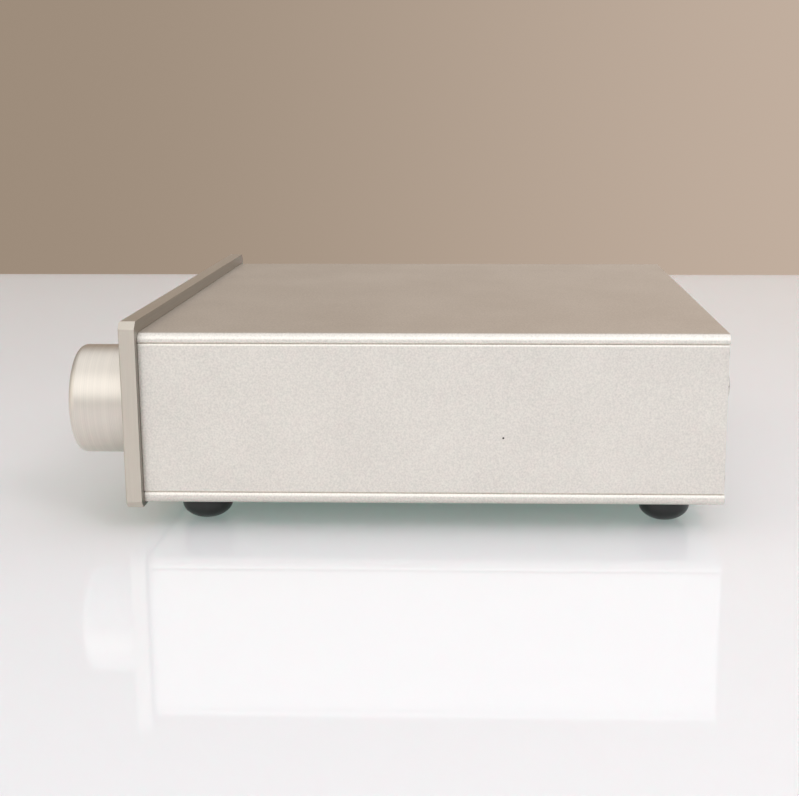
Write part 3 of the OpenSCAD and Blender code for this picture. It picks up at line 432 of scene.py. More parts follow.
@dataclass(frozen=True)
class Laminate(Finish):
    """White laminate with a polished face: it mirrors what stands on it, and light in it softens the shade.

    The reach is how far red, green and blue light spread in it, in metres.
    """

    glow: float = 0.8
    reach: Place = (0.09, 0.14, 0.12)

    def shade(self, on: Surface) -> None:
        """Set the colour, the polish and the glow, which are the same all over."""
        for socket, value in (("Base Color", linear(self.colour)), ("Roughness", self.roughness),
                              ("Subsurface Weight", self.glow), ("Subsurface Radius", self.reach),
                              ("Subsurface Scale", 1.0)):
            on.shader.inputs[socket].default_value = value


class Workpiece:
    """A mesh that is shaped with operators, step by step, and then handed over to the part."""

    # A face has to be this many times wider than the rounding of an edge beside it.
    spare: ClassVar[float] = 1.5

    def __init__(self, name: str) -> None:
        """Take the active object as the piece.

        Args:
            name: The piece's name.
        """
        self.obj: bpy.types.Object = bpy.context.object
        self.obj.name = name
        self.obj.data.name = name

    @classmethod
    def block(cls, name: str, low: Sequence[float], high: Sequence[float]) -> "Workpiece":
        """Start from a block between two corners, in metres.

        Args:
            name: The piece's name.
            low: The lowest corner.
            high: The highest corner.

        Returns:
            The piece.
        """
        bpy.ops.object.select_all(action="DESELECT")
        a, b = Vector(low), Vector(high)
        bpy.ops.mesh.primitive_cube_add(size=1, location=(a + b) / 2, scale=b - a)
        bpy.ops.object.transform_apply(location=True, rotation=True, scale=True)
        return cls(name)

    @classmethod
    def turned(cls, name: str, profile: Profile, axis: tuple[float, float], steps: int = 96,
               spindle: Spindle = Spindle.LEVEL) -> "Workpiece":
        """Spin a profile round an axis. One that starts and ends on the axis is left open there.

        Args:
            name: The piece's name.
            profile: Radius and place along the axis of each corner, in metres.
            axis: X and Z of a level axis, or X and Y of an upright one.
            steps: Faces round the piece.
            spindle: How the axis lies.

        Returns:
            The piece.
        """
        bpy.ops.object.select_all(action="DESELECT")
        bpy.ops.mesh.primitive_plane_add(size=MM, location=(0, 0, 0))
        piece = cls(name)
        bpy.ops.object.mode_set(mode="EDIT")
        bpy.ops.mesh.select_mode(type="VERT")
        bpy.ops.mesh.select_all(action="SELECT")
        bpy.ops.mesh.merge(type="CENTER")
        along = Vector(spindle.value)
        middle = Vector((axis[0], axis[1] * along.z, axis[1] * along.y))
        corners = [middle + Vector((r, 0, 0)) + along * place for r, place in profile]
        if profile[0][0] or profile[-1][0]:
            corners.append(corners[0])
        bpy.ops.transform.translate(value=corners[0])
        for start, end in zip(corners, corners[1:]):
            bpy.ops.mesh.extrude_region_move(TRANSFORM_OT_translate={"value": end - start})
        bpy.ops.mesh.select_all(action="SELECT")
        bpy.ops.mesh.spin(steps=steps, angle=FULL_TURN, center=middle, axis=along)
        bpy.ops.mesh.select_all(action="SELECT")
        bpy.ops.mesh.remove_doubles(threshold=MERGE_GAP)
        bpy.ops.mesh.normals_make_consistent(inside=False)
        bpy.ops.object.mode_set(mode="OBJECT")
        return piece

    @classmethod
    def copied(cls, node: str) -> "Workpiece":
        """Start from a copy of a CAD node, merged to whole faces.

        Args:
            node: The node's name.

        Returns:
            The piece.
        """
        bpy.ops.object.select_all(action="DESELECT")
        obj = bpy.data.objects.new(node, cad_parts[node].data.copy())
        bpy.context.scene.collection.objects.link(obj)
        obj.select_set(True)
        bpy.context.view_layer.objects.active = obj
        piece = cls(f"{node}_finished")
        bpy.ops.mesh.customdata_custom_splitnormals_clear()
        bpy.ops.object.mode_set(mode="EDIT")
        bpy.ops.mesh.select_all(action="SELECT")
        bpy.ops.mesh.remove_doubles(threshold=MERGE_GAP)
        bpy.ops.mesh.dissolve_limited(angle_limit=FLAT_ANGLE)
        bpy.ops.object.mode_set(mode="OBJECT")
        return piece

    def select_alone(self) -> None:
        """Select this piece and no other, and make it the active one."""
        bpy.ops.object.select_all(action="DESELECT")
        self.obj.select_set(True)
        bpy.context.view_layer.objects.active = self.obj

    def pick_faces(self, test: Callable[[Vector, Vector], bool]) -> "Workpiece":
        """Enter edit mode with only the faces that pass a test selected.

        Args:
            test: Takes a face's middle and its normal.

        Returns:
            The piece.
        """
        bpy.ops.object.mode_set(mode="EDIT")
        bpy.ops.mesh.select_all(action="DESELECT")
        bpy.ops.mesh.select_mode(type="FACE")
        mesh = bmesh.from_edit_mesh(self.obj.data)
        for face in mesh.faces:
            face.select_set(test(face.calc_center_median(), face.normal))
        bmesh.update_edit_mesh(self.obj.data)
        return self

    def pick_edges(self, test: Callable[[bmesh.types.BMEdge, float], bool]) -> "Workpiece":
        """Enter edit mode with only the edges that pass a test selected.

        Args:
            test: Takes an edge and the angle between its faces, in degrees.

        Returns:
            The piece.
        """
        bpy.ops.object.mode_set(mode="EDIT")
        bpy.ops.mesh.select_all(action="DESELECT")
        bpy.ops.mesh.select_mode(type="EDGE")
        mesh = bmesh.from_edit_mesh(self.obj.data)
        for edge in mesh.edges:
            edge.select_set(test(edge, math.degrees(edge.calc_face_angle(0.0))))
        bmesh.update_edit_mesh(self.obj.data)
        return self

    def round_picked(self, width_mm: float, segments: int) -> "Workpiece":
        """Round the edges that are picked, and leave edit mode.

        Args:
            width_mm: Width of the rounding.
            segments: Faces across it.

        Returns:
            The piece.
        """
        bpy.ops.mesh.bevel(offset=width_mm * MM, segments=segments, affect="EDGES", clamp_overlap=False,
                           miter_outer="ARC")
        bpy.ops.object.mode_set(mode="OBJECT")
        return self

    def cut_off(self, point: Sequence[float], outward: Sequence[float]) -> "Workpiece":
        """Cut off what stands past a plane, and close the cut.

        Args:
            point: A point of the plane.
            outward: The plane's normal, which points to what goes.

        Returns:
            The piece.
        """
        bpy.ops.object.mode_set(mode="EDIT")
        bpy.ops.mesh.select_all(action="SELECT")
        bpy.ops.mesh.bisect(plane_co=point, plane_no=outward, use_fill=True, clear_outer=True)
        bpy.ops.object.mode_set(mode="OBJECT")
        return self

    def twin(self, name: str, shift: Sequence[float]) -> "Workpiece":
        """Copy the piece, with a mesh of its own, to another place.

        Args:
            name: The copy's name.
            shift: How far the copy is moved.

        Returns:
            The copy.
        """
        self.select_alone()
        bpy.ops.object.duplicate(linked=False)
        copy = Workpiece(name)
        bpy.ops.transform.translate(value=shift)
        bpy.ops.object.transform_apply(location=True, rotation=True, scale=True)
        return copy

    def break_edges(self, width_mm: float, segments: int = 2, angle: float = 65.0) -> "Workpiece":
        """Round every sharp edge a little, as a deburred edge is, where the faces beside it are wide enough.

        Args:
            width_mm: Width of the rounding.
            segments: Faces across it.
            angle: Edges sharper than this, in degrees, are rounded.

        Returns:
            The piece.
        """
        room = self.spare * width_mm * MM

        def sharp(edge: bmesh.types.BMEdge, turn: float) -> bool:
            """Tell whether an edge is sharp and has room for its rounding."""
            length = edge.calc_length()
            return turn > angle and all(face.calc_area() > room * length for face in edge.link_faces)

        return self.pick_edges(sharp).round_picked(width_mm, segments)

    def modify(self, kind: str, **settings: Any) -> None:
        """Add a modifier and apply it.

        Args:
            kind: The modifier's type.
            **settings: Its values.
        """
        bpy.context.view_layer.objects.active = self.obj
        modifier = self.obj.modifiers.new(kind.title(), kind)
        for key, value in settings.items():
            setattr(modifier, key, value)
        bpy.ops.object.modifier_apply(modifier=modifier.name)

    def join(self, others: Sequence["Workpiece"]) -> "Workpiece":
        """Join other pieces into this one.

        Args:
            others: The pieces that become part of this one.

        Returns:
            The piece.
        """
        self.select_alone()
        for piece in others:
            piece.obj.select_set(True)
        bpy.ops.object.join()
        return self

    def hand_over(self, body: str, slot: str, finish: Finish, *nodes: str, angle: float = 40.0) -> None:
        """Shade the piece, give it its finish and fix it to a body.

        Args:
            body: The body that it rides on.
            slot: The record's material slot. It is not used.
            finish: The finish.
            *nodes: CAD nodes that it stands for.
            angle: Edges sharper than this, in degrees, stay crisp.
        """
        self.select_alone()
        bpy.ops.object.shade_smooth_by_angle(angle=math.radians(angle))
        self.modify("WEIGHTED_NORMAL", keep_sharp=True)
        self.obj.data.materials.clear()
        self.obj.data.materials.append(finish.material())
        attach(self.obj, body)
        if nodes:
            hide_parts(*nodes)
        LOG.info("%s rides on %s with %d faces", self.obj.name, body, len(self.obj.data.polygons))


def axis_of(node: str) -> tuple[float, float]:
    """Return X and Z of the middle of a CAD node."""
    low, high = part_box(node)
    return ((low.x + high.x) / 2, (low.z + high.z) / 2)


def dress(finish: Finish, *nodes: str) -> None:
    """Put a finish on CAD nodes that are shown as they are.

    Args:
        finish: The finish.
        *nodes: The nodes' names.
    """
    for node in nodes:
        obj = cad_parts[node]
        obj.data.materials.clear()
        obj.data.materials.append(finish.material())
        LOG.info("%s is dressed in %s", node, finish.name)


# A pale metal with a soft, even shine and a fine sparkle.
BLASTED = BlastedMetal("bead_blasted_anodised_aluminium", "e5dfd7", 0.40)
# The same metal with a smoother, quieter grain.
SATIN = BlastedMetal("satin_anodised_rear_plate", "d3cec8", 0.40, contrast=0.03, grit_mm=0.5)
# A warmer, darker metal with long hairlines, and painted shade on its back.
BRUSHED = BrushedMetal("belt_brushed_anodised_aluminium", "cec5b9", 0.42)
# A soft black with a broad, dull highlight.
BLACK_RUBBER = Moulded("moulded_black_rubber", "1c1c1b", 0.38, grain_mm=0.5, contrast=0.12, ior=1.52)
# A charcoal metal with a low gleam.
BLACK_OXIDE = PlatedMetal("black_oxide_steel", "3a3937", 0.38)
# A cool, bright grey with a slight cloud.
ZINC = PlatedMetal("zinc_plated_steel", "b9bab6", 0.30)
# A clear mirror, a little warm.
NICKEL = PlatedMetal("nickel_plated_brass", "cfccc4", 0.18, mottle_mm=2.0, contrast=0.04)
# A clear yellow mirror.
GOLD = PlatedMetal("gold_plated_brass", "dcb768", 0.16, mottle_mm=2.0, contrast=0.05)
# A dull grey metal with a pebbled skin.
CASTING = PlatedMetal("die_cast_zinc", "9b9c9c", 0.46, mottle_mm=0.6, relief_mm=0.02)
# A yellow metal with a softer shine than gold.
BRASS = PlatedMetal("turned_brass", "c9a65a", 0.28)
# A matt black metal.
BLACK_ANODISED = PlatedMetal("black_anodised_aluminium", "2b2b2d", 0.42, mottle_mm=0.5)
# A black plastic with a fine, dull grain.
BLACK_PLASTIC = Moulded("moulded_black_nylon", "19191a", 0.42, grain_mm=0.25)
# Smooth plastics from a polished mould, with a clear highlight.
BLACK_GLOSS = Moulded("glossy_black_plastic", "1b1b1c", 0.22, grain_mm=1.5, relief_mm=0.004)
RED_GLOSS = Moulded("glossy_red_plastic", "a8231d", 0.24, grain_mm=1.5, relief_mm=0.004)
WHITE_GLOSS = Moulded("glossy_white_plastic", "e8e5dd", 0.26, grain_mm=1.5, relief_mm=0.004, contrast=0.03)
# A creamy, half matt plastic.
IVORY = Moulded("moulded_ivory_nylon", "e2ddd0", 0.40, contrast=0.04)
# A brown board with the mottle of pressed paper.
PHENOLIC = Moulded("pressed_phenolic_paper", "7a5230", 0.50, grain_mm=0.8, contrast=0.18)
# A flat dark grey with next to no shine.
EPOXY = Moulded("moulded_chip_epoxy", "232325", 0.55, grain_mm=0.2)
# A tight, dark blue skin with a long highlight.
CAN = Moulded("shrink_sleeved_can", "26303f", 0.30, grain_mm=2.5)
# A matt, dark grey sheet.
PAD = Moulded("cut_rubber_sheet", "28282a", 0.70, grain_mm=0.6)
# Smooth coloured insulation with a soft line of light.
MAINS_WIRE = Moulded("extruded_blue_insulation", "2c4168", 0.38, grain_mm=1.0)
SIGNAL_WIRE = Moulded("extruded_red_insulation", "8a2f2b", 0.38, grain_mm=1.0)
# A pale, hazy glass look.
LAMP = ClearResin("cast_lamp_resin", "e6ecef", 0.12)
# A shiny green with paler tracks.
BOARD = SolderMask("green_solder_mask", "1d6b44", 0.34)
# A grey ribbon with one rib to a wire.
CABLE = Striped("grey_flat_cable", "a7a9ac", 0.45)
# Shiny yellow turns that cross the coil at a slant.
TAPE = Striped("wound_polyester_tape", "c9ad45", 0.25, pitch_mm=9.0, ribs=Ribs.SLANTING)
# A white sheet with a clear mirror image and a pale, greenish shade.
LAMINATE = Laminate("polished_white_laminate", "e8f1f0", 0.04)


class SubAssembly:
    """Pieces that belong together. Each has its own build method, its own dress method or both."""

    def build(self) -> None:
        """Model no piece."""

    def dress(self) -> None:
        """Dress no CAD node."""


@dataclass
class Case(SubAssembly):
    """The extruded case: covers, side panels, front and rear panels and their screws."""

    edge_mm: float = 0.18
    lip_mm: float = 0.42
    seam_drop_mm: float = 0.3
    seam_depth_mm: float = 0.6
    bevel_angles: tuple[float, float] = (40.0, 50.0)
    panel_edge_mm: float = 0.16
    panel_corner_mm: float = 2.2
    panel_drop_mm: float = 0.8
    panel_foot_mm: float = 3.0
    # The upward share of a normal above which a face looks up, and below which it looks down.
    looks_up: float = 0.5
    looks_down: float = -0.02
    nick: Place = (0.100, 0.0312, 0.0321)

    def build(self) -> None:
        """Shape the extrusions and the two panels."""
        # The blasted metal with one small dark spot.
        nicked = BlastedMetal("bead_blasted_aluminium_with_a_nick", BLASTED.colour, BLASTED.roughness,
                              nick_at=self.nick)
        for node, finish in (("top_cover", BLASTED), ("bottom_cover", BLASTED), ("left_side_panel", BLASTED),
                             ("right_side_panel", nicked)):
            self.extrusion(node).hand_over("case", "blasted_aluminium", finish, node)
        self.front().hand_over("case", "brushed_aluminium", BRUSHED, "front_panel")
        Workpiece.copied("rear_panel").break_edges(self.panel_edge_mm).hand_over(
            "case", "rear_plate", SATIN, "rear_panel")

    def extrusion(self, node: str) -> Workpiece:
        """Set the seams of a cover or a side panel lower, slope its upper lips and break its other edges.

        Args:
            node: The CAD node.

        Returns:
            The piece.
        """
        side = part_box("top_cover")[1].x
        low, high = self.bevel_angles

        def mouth(edge: bmesh.types.BMEdge, angle: float) -> bool:
            """Tell whether an edge bounds a bevel along a seam."""
            innermost = side - self.seam_depth_mm * MM
            return low < angle < high and all(abs(corner.co.x) > innermost for corner in edge.verts)

        def upper_lip(edge: bmesh.types.BMEdge, angle: float) -> bool:
            """Tell whether an edge lies between the side of the case and a bevel that looks up.

            Args:
                edge: The edge.
                angle: The angle between its faces, in degrees.

            Returns:
                True for such an edge.
            """
            middle = (edge.verts[0].co + edge.verts[1].co) / 2
            outside = abs(abs(middle.x) - side) < SAME
            upward = any(face.normal.z > self.looks_up for face in edge.link_faces)
            return outside and low < angle < high and upward

        piece = Workpiece.copied(node).pick_edges(mouth)
        bpy.ops.transform.translate(value=(0, 0, -self.seam_drop_mm * MM))
        return piece.pick_edges(upper_lip).round_picked(self.lip_mm, 1).break_edges(self.edge_mm)

    def front(self) -> Workpiece:
        """Draw the panel's lower edge down, cut its corners and break its edges.

        Returns:
            The piece.
        """
        low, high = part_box("front_panel")
        drop, corner = self.panel_drop_mm * MM, self.panel_corner_mm * MM
        foot = low.z + self.panel_foot_mm * MM
        panel = Workpiece.copied("front_panel")
        panel.pick_faces(lambda middle, normal: normal.z < self.looks_down and middle.z < foot)
        bpy.ops.transform.translate(value=(0, 0, -drop))
        bpy.ops.object.mode_set(mode="OBJECT")
        for x, side in ((low.x, -1), (high.x, 1)):
            for z, way in ((low.z - drop, -1), (high.z, 1)):
                panel.cut_off((x - side * corner, 0, z), (side, 0, way))
        return panel.break_edges(self.panel_edge_mm)

    def dress(self) -> None:
        """Finish the screws."""
        dress(BLACK_OXIDE, "front_panel_screws", "rear_panel_screws")


@dataclass
class Feet(SubAssembly):
    """Four rubber feet, each a half ellipsoid under a short straight side."""

    places: tuple[str, ...] = ("front_left", "front_right", "rear_left", "rear_right")
    radius_mm: float = 8.5
    dome_mm: float = 5.5
    tip_mm: float = 0.6
    edge_mm: float = 0.3
    arc_steps: int = 20

    def build(self) -> None:
        """Model one foot and copy it to the four places."""
        low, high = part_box(f"foot_{self.places[0]}")
        middle = (low + high) / 2
        radius, dome = self.radius_mm * MM, self.dome_mm * MM
        tip, edge = self.tip_mm * MM, self.edge_mm * MM
        turns = [math.pi / 2 * i / self.arc_steps for i in range(self.arc_steps + 1)]
        arc = [(radius * math.sin(t), low.z + dome * (1 - math.cos(t))) for t in turns]
        profile = [(0, low.z), (tip, low.z), *[corner for corner in arc if corner[0] > tip],
                   (radius, high.z - edge), (radius - edge, high.z), (0, high.z)]
        first = Workpiece.turned("rubber_foot", profile, (middle.x, middle.y), spindle=Spindle.UPRIGHT)
        for place in self.places:
            node = f"foot_{place}"
            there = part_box(node)
            shift = (there[0] + there[1]) / 2 - middle
            first.twin(f"{node}_finished", shift).hand_over("case", "foot_rubber", BLACK_RUBBER, node)
        bpy.data.objects.remove(first.obj)


@dataclass
class VolumeControl(SubAssembly):
    """The knob and the potentiometer behind it."""

    edge_mm: float = 0.25
    colour: str = "dfd7cd"
    roughness: float = 0.43
    contrast: float = 0.09

    def build(self) -> None:
        """Break the knob's sharp edges."""
        # A pale metal on which the light lies as one soft band along the side.
        turned = TurnedMetal("lathe_turned_knob", self.colour, self.roughness, contrast=self.contrast,
                             axis=axis_of("volume_knob"))
        Workpiece.copied("volume_knob").break_edges(self.edge_mm).hand_over(
            "volume", "turned_aluminium", turned, "volume_knob")

    def dress(self) -> None:
        """Finish the shaft and the potentiometer."""
        dress(BLACK_OXIDE, "knob_set_screw")
        dress(ZINC, "pot_shaft", "pot_washer", "pot_nut")
        dress(CASTING, "pot_housing")
        dress(PHENOLIC, "pot_rotor", "pot_track")


@dataclass
class Buttons(SubAssembly):
    """The two buttons, their switches and the row of lamps."""

    edge_mm: float = 0.15
    colour: str = "e0d8ce"
    roughness: float = 0.30
    ring_mm: float = 0.18

    def build(self) -> None:
        """Break the buttons' sharp edges."""
        for node in ("power_button", "select_button"):
            # A pale metal with a fan of light on its face.
            turned = TurnedMetal(f"lathe_turned_{node}", self.colour, self.roughness, axis=axis_of(node),
                                 ring_mm=self.ring_mm)
            button = Workpiece.copied(node).break_edges(self.edge_mm)
            button.hand_over(node, "turned_aluminium", turned, node)

    def dress(self) -> None:
        """Finish the switches and the lamps."""
        dress(BLACK_PLASTIC, "power_switch", "select_switch")
        dress(IVORY, "power_plunger")
        dress(LAMP, "indicators")


@dataclass
class HeadphoneSocket(SubAssembly):
    """The headphone socket with a fluted nut and a plated ferrule round its mouth."""

    bore_mm: float = 5.55
    edge_mm: float = 0.5
    flutes: int = 36
    flute_mm: float = 0.28
    flute_wall_mm: float = 0.06
    # A face whose normal has less than this share along the axis belongs to the straight side.
    straight: float = 0.1
    ferrule_bore_mm: float = 3.27
    ferrule_wall_mm: float = 0.9
    ferrule_mm: float = 0.35
    ferrule_slope_mm: float = 0.2
    ferrule_skin_mm: float = 0.02
    ferrule_reach_mm: float = 2.0
    crisp_angle: float = 30.0

    def build(self) -> None:
        """Model the nut and the ferrule."""
        axis = axis_of("headphone_nut")
        self.nut(axis).hand_over("case", "nickel", NICKEL, "headphone_nut", angle=self.crisp_angle)
        self.ferrule(axis).hand_over("case", "nickel", NICKEL, angle=self.crisp_angle)

    def nut(self, axis: tuple[float, float]) -> Workpiece:
        """Turn the nut and sink its flutes.

        Args:
            axis: X and Z of the socket's axis.

        Returns:
            The piece.
        """
        low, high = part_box("headphone_nut")
        outer, bore, edge = (high.x - low.x) / 2, self.bore_mm * MM, self.edge_mm * MM
        nut = Workpiece.turned("headphone_fluted_nut", [
            (bore, high.y), (outer, high.y), (outer, low.y + edge), (outer - edge, low.y), (bore, low.y)],
            axis, steps=2 * self.flutes)
        step = FULL_TURN / self.flutes

        def every_other_side(middle: Vector, normal: Vector) -> bool:
            """Tell whether a face is one of the flutes on the straight side.

            Args:
                middle: The face's middle.
                normal: Its normal.

            Returns:
                True for such a face.
            """
            out = Vector((middle.x - axis[0], 0, middle.z - axis[1]))
            turn = math.atan2(out.z, out.x) % step
            return abs(normal.y) < self.straight and normal.dot(out) > 0 and turn < step / 2

        nut.pick_faces(every_other_side)
        bpy.ops.mesh.inset(thickness=self.flute_wall_mm * MM, depth=-self.flute_mm * MM, use_individual=True)
        bpy.ops.object.mode_set(mode="OBJECT")
        return nut

    def ferrule(self, axis: tuple[float, float]) -> Workpiece:
        """Turn the ferrule, a sloped rim with a thin lining that runs into the socket.

        Args:
            axis: X and Z of the socket's axis.

        Returns:
            The piece.
        """
        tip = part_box("headphone_socket")[0].y
        front, back = tip - self.ferrule_mm * MM, tip + self.ferrule_reach_mm * MM
        inner, slope, skin = self.ferrule_bore_mm * MM, self.ferrule_slope_mm * MM, self.ferrule_skin_mm * MM
        rim = inner + self.ferrule_wall_mm * MM
        return Workpiece.turned("headphone_ferrule", [
            (inner, back), (inner, tip), (inner + slope, front), (rim - slope, front), (rim, tip),
            (rim, tip + skin), (inner + skin, tip + skin), (inner + skin, back)], axis)

    def dress(self) -> None:
        """Finish the socket's body."""
        dress(BLACK_PLASTIC, "headphone_socket")


@dataclass
class LineSockets(SubAssembly):
    """Three phono sockets with plated barrels."""

    edge_mm: float = 0.35

    def build(self) -> None:
        """Break the barrels' edges."""
        Workpiece.copied("line_socket_shells").break_edges(self.edge_mm, segments=3).hand_over(
            "case", "nickel", NICKEL, "line_socket_shells")

    def dress(self) -> None:
        """Finish the sleeves, contacts and nuts."""
        dress(BLACK_GLOSS, "coax_sleeve")
        dress(RED_GLOSS, "right_sleeve")
        dress(WHITE_GLOSS, "left_sleeve")
        dress(GOLD, "line_contacts")
        dress(ZINC, "line_socket_nuts")


@dataclass
class DigitalSockets(SubAssembly):
    """The USB and optical inputs."""

    edge_mm: float = 0.12
    contacts_a_side: int = 2
    contact_w_mm: float = 0.8
    contact_t_mm: float = 0.25
    contact_edge_mm: float = 0.08
    contact_short_mm: float = 1.0

    def build(self) -> None:
        """Break the shells' edges and lay the contacts on both sides of the tongue."""
        for node, slot, finish in (("usb_shell", "nickel", NICKEL),
                                   ("optical_socket", "switch_plastic", BLACK_PLASTIC)):
            Workpiece.copied(node).break_edges(self.edge_mm).hand_over("case", slot, finish, node)
        low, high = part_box("usb_tongue")
        pitch = (high.x - low.x) / self.contacts_a_side
        half, thick = self.contact_w_mm * MM / 2, self.contact_t_mm * MM
        end = high.y - self.contact_short_mm * MM
        strips = []
        for bottom in (high.z, low.z - thick):
            for i in range(self.contacts_a_side):
                x = low.x + (i + 0.5) * pitch
                strips.append(Workpiece.block(f"usb_contact_{len(strips)}", (x - half, low.y, bottom),
                                              (x + half, end, bottom + thick)))
        strips[0].join(strips[1:]).break_edges(self.contact_edge_mm).hand_over("case", "gold_plate", GOLD)

    def dress(self) -> None:
        """Finish the tongue."""
        dress(IVORY, "usb_tongue")


@dataclass
class MainsInlet(SubAssembly):
    """The mains inlet with its three blades."""

    edge_mm: float = 0.3
    tip_mm: float = 0.7

    def build(self) -> None:
        """Break the inlet's edges and round the blades' tips."""
        Workpiece.copied("mains_inlet").break_edges(self.edge_mm).hand_over(
            "case", "switch_plastic", BLACK_PLASTIC, "mains_inlet")
        Workpiece.copied("mains_blades").break_edges(self.tip_mm, segments=3).hand_over(
            "case", "nickel", NICKEL, "mains_blades")

    def dress(self) -> None:
        """Finish the screws and nuts."""
        dress(BLACK_OXIDE, "inlet_screws")
        dress(ZINC, "inlet_nuts")


@dataclass
class Electronics(SubAssembly):
    """The boards, the transformer and the leads inside the case."""

    def dress(self) -> None:
        """Finish every piece inside."""
        dress(BOARD, "front_board", "main_board")
        dress(BRASS, "front_board_posts", "board_standoffs")
        dress(ZINC, "front_board_screws", "board_screws")
        dress(ZINC, "transformer_plate", "transformer_stud", "transformer_nut")
        dress(CAN, "filter_capacitors")
        dress(BLACK_ANODISED, "heatsink")
        dress(EPOXY, "regulators", "board_chips")
        dress(IVORY, "ribbon_plugs")
        dress(CABLE, "ribbon_cable")
        dress(TAPE, "transformer")
        dress(PAD, "transformer_pads")
        dress(MAINS_WIRE, "mains_leads")
        dress(SIGNAL_WIRE, "signal_leads")


@dataclass(frozen=True)
class Lamp:
    """A square soft lamp that faces the object and isn't mirrored in polished surfaces."""

    at: Place
    size: float
    watts: float

    def hang(self) -> None:
        """Hang the lamp and turn it to the object."""
        bpy.ops.object.light_add(type="AREA", location=self.at)
        lamp = bpy.context.object
        lamp.rotation_euler = (-Vector(self.at)).to_track_quat("-Z", "Y").to_euler()
        lamp.data.size = self.size
        lamp.data.energy = self.watts
        lamp.visible_glossy = False


@dataclass(frozen=True)
class Glow:
    """A bright, soft-edged part of the sky, as a window gives.

    It fades in from the rim to the core, which are cosines of the angle to its way.
    """

    way: Place
    level: float
    rim: float
    core: float


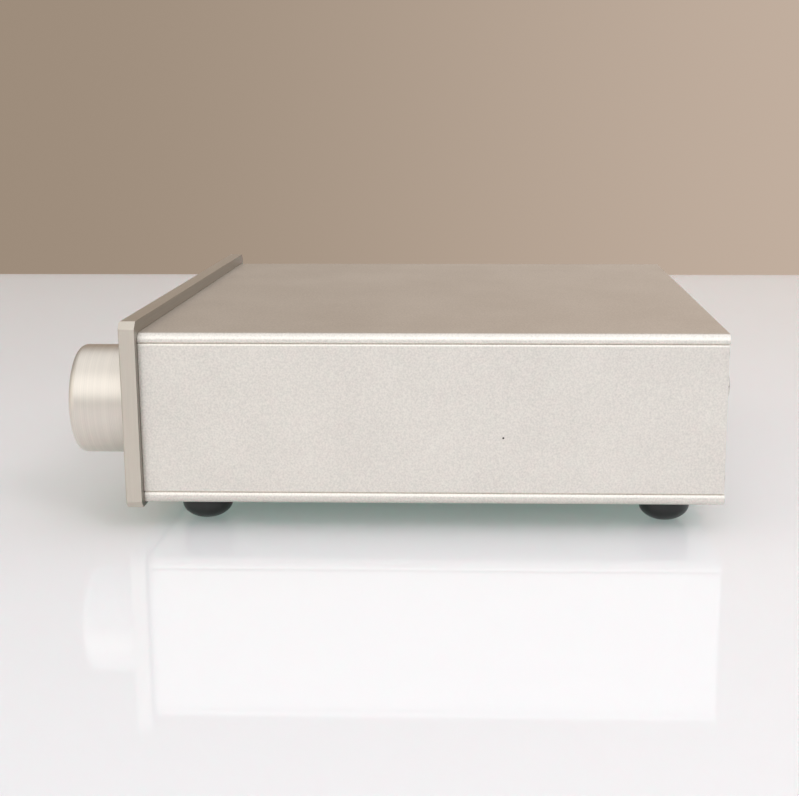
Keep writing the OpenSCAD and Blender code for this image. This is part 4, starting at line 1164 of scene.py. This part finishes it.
@dataclass
class Studio:
    """The pale floor, the soft light and the camera. Lengths are in metres and angles in radians.

    A fade is a pair of values of the sky's direction, between which one look gives way to another.
    """

    floor_near: float = 3.0
    floor_side: float = 3.0
    floor_back: float = 0.61
    floor_thick: float = 0.02
    floor_edge_mm: float = 4.0
    wall_left: str = "9d8c7b"
    wall_right: str = "c5b2a2"
    wall_back_fade: tuple[float, float] = (-0.5, -0.9)
    wall_side_fade: tuple[float, float] = (-0.36, 0.36)
    sky_left: str = "f0ece3"
    sky_right: str = "f0f4fa"
    side_slope: float = 0.42
    side_level: float = 0.62
    sky_level: float = 1.42
    sky_fade: tuple[float, float] = (0.5, 1.0)
    glows: tuple[Glow, ...] = (Glow((0.78, -0.09, 0.62), 1.88, 0.66, 0.98),
                               Glow((0.42, -0.88, 0.2), 2.1, 0.6, 0.96))
    lamps: tuple[Lamp, ...] = (Lamp((1.1, 0.87, 1.27), 0.5, 10.0),)
    camera_at: Place = (0.54479, 0.02521, 0.13893)
    camera_turn: float = -0.02987
    camera_tilt: float = 0.20626
    camera_roll: float = -0.00241
    camera_nearest: float = 0.01
    focal_px: float = 1411.9
    centre_px: tuple[float, float] = (443.65, 396.46)
    image_px: tuple[float, float] = (799.0, 796.0)
    sensor_mm: float = 36.0

    def build(self) -> None:
        """Lay the floor, light the scene and set the camera."""
        self.lay_floor()
        self.light()
        self.set_camera()
        bpy.context.scene.view_settings.view_transform = "Standard"

    def lay_floor(self) -> None:
        """Lay a plain pale floor that ends behind the object."""
        floor = Workpiece.block("floor", (-self.floor_back, -self.floor_side, -self.floor_thick),
                                (self.floor_near, self.floor_side, 0.0)).break_edges(self.floor_edge_mm)
        floor.obj.data.materials.append(LAMINATE.material())

    def light(self) -> None:
        """Light the scene from a soft sky, with a warm backdrop behind the object."""
        world = bpy.data.worlds.new("soft_studio")
        world.use_nodes = True
        bpy.context.scene.world = world
        tree = world.node_tree
        way = add(tree, "ShaderNodeTexCoord").outputs["Generated"]
        part = add(tree, "ShaderNodeSeparateXYZ", links={0: way}).outputs
        fades = [(part["X"], self.wall_back_fade), (part["Y"], self.wall_side_fade),
                 (part["Z"], self.sky_fade)]
        for glow in self.glows:
            toward = add(tree, "ShaderNodeVectorMath", {"operation": "DOT_PRODUCT", 1: glow.way}, {0: way})
            fades.append((toward.outputs["Value"], (glow.rim, glow.core)))
        behind, rightward, upward, *glowing = [
            add(tree, "ShaderNodeMapRange",
                {"interpolation_type": "SMOOTHSTEP", "From Min": start, "From Max": end},
                {"Value": value}).outputs[0] for value, (start, end) in fades]
        wall = add(tree, "ShaderNodeMix", {"data_type": "RGBA", COLOUR_A: linear(self.wall_left),
                                           COLOUR_B: linear(self.wall_right)}, {0: rightward})
        across = add(tree, "ShaderNodeMapRange", {"From Min": -1.0}, {"Value": part["Y"]})
        dome = add(tree, "ShaderNodeMix",
                   {"data_type": "RGBA", COLOUR_A: linear(self.sky_left, 1 - self.side_slope),
                    COLOUR_B: linear(self.sky_right, 1 + self.side_slope)}, {0: across.outputs[0]})
        level = add(tree, "ShaderNodeMapRange", {"To Min": self.side_level, "To Max": self.sky_level},
                    {"Value": upward}).outputs[0]
        for glow, share in zip(self.glows, glowing):
            bright = add(tree, "ShaderNodeMath", {"operation": "MULTIPLY", 1: glow.level}, {0: share})
            level = add(tree, "ShaderNodeMath", {"operation": "MAXIMUM"},
                        {0: level, 1: bright.outputs[0]}).outputs[0]
        sky = add(tree, "ShaderNodeVectorMath", {"operation": "SCALE"},
                  {0: dome.outputs[COLOUR_OUT], "Scale": level})
        both = add(tree, "ShaderNodeMix", {"data_type": "RGBA"},
                   {0: behind, COLOUR_A: sky.outputs[0], COLOUR_B: wall.outputs[COLOUR_OUT]})
        tree.links.new(both.outputs[COLOUR_OUT], tree.nodes["Background"].inputs["Color"])
        for lamp in self.lamps:
            lamp.hang()

    def set_camera(self) -> None:
        """Stand the camera where the photograph was taken."""
        tilt, turn = self.camera_tilt, self.camera_turn
        level = math.cos(tilt)
        forward = Vector((-level * math.cos(turn), level * math.sin(turn), -math.sin(tilt)))
        right = forward.cross(Vector((0, 0, 1))).normalized()
        up = right.cross(forward)
        rolled = Matrix((right, up, -forward)).transposed() @ Matrix.Rotation(self.camera_roll, 3, "Z")
        bpy.ops.object.camera_add()
        camera = bpy.context.object
        camera.matrix_world = Matrix.Translation(self.camera_at) @ rolled.to_4x4()
        width, height = self.image_px
        camera.data.sensor_width = self.sensor_mm
        camera.data.lens = self.focal_px * self.sensor_mm / width
        camera.data.shift_x = (width / 2 - self.centre_px[0]) / width
        camera.data.shift_y = (self.centre_px[1] - height / 2) / width
        camera.data.clip_start = self.camera_nearest
        bpy.context.scene.camera = camera


def main() -> None:
    """Build and dress every sub-assembly, then set the studio."""
    logging.basicConfig(level=logging.INFO, format="%(name)s: %(message)s")
    for part in (Case(), Feet(), VolumeControl(), Buttons(), HeadphoneSocket(), LineSockets(),
                 DigitalSockets(), MainsInlet(), Electronics()):
        part.build()
        part.dress()
    Studio().build()


if __name__ == "__main__":
    main()
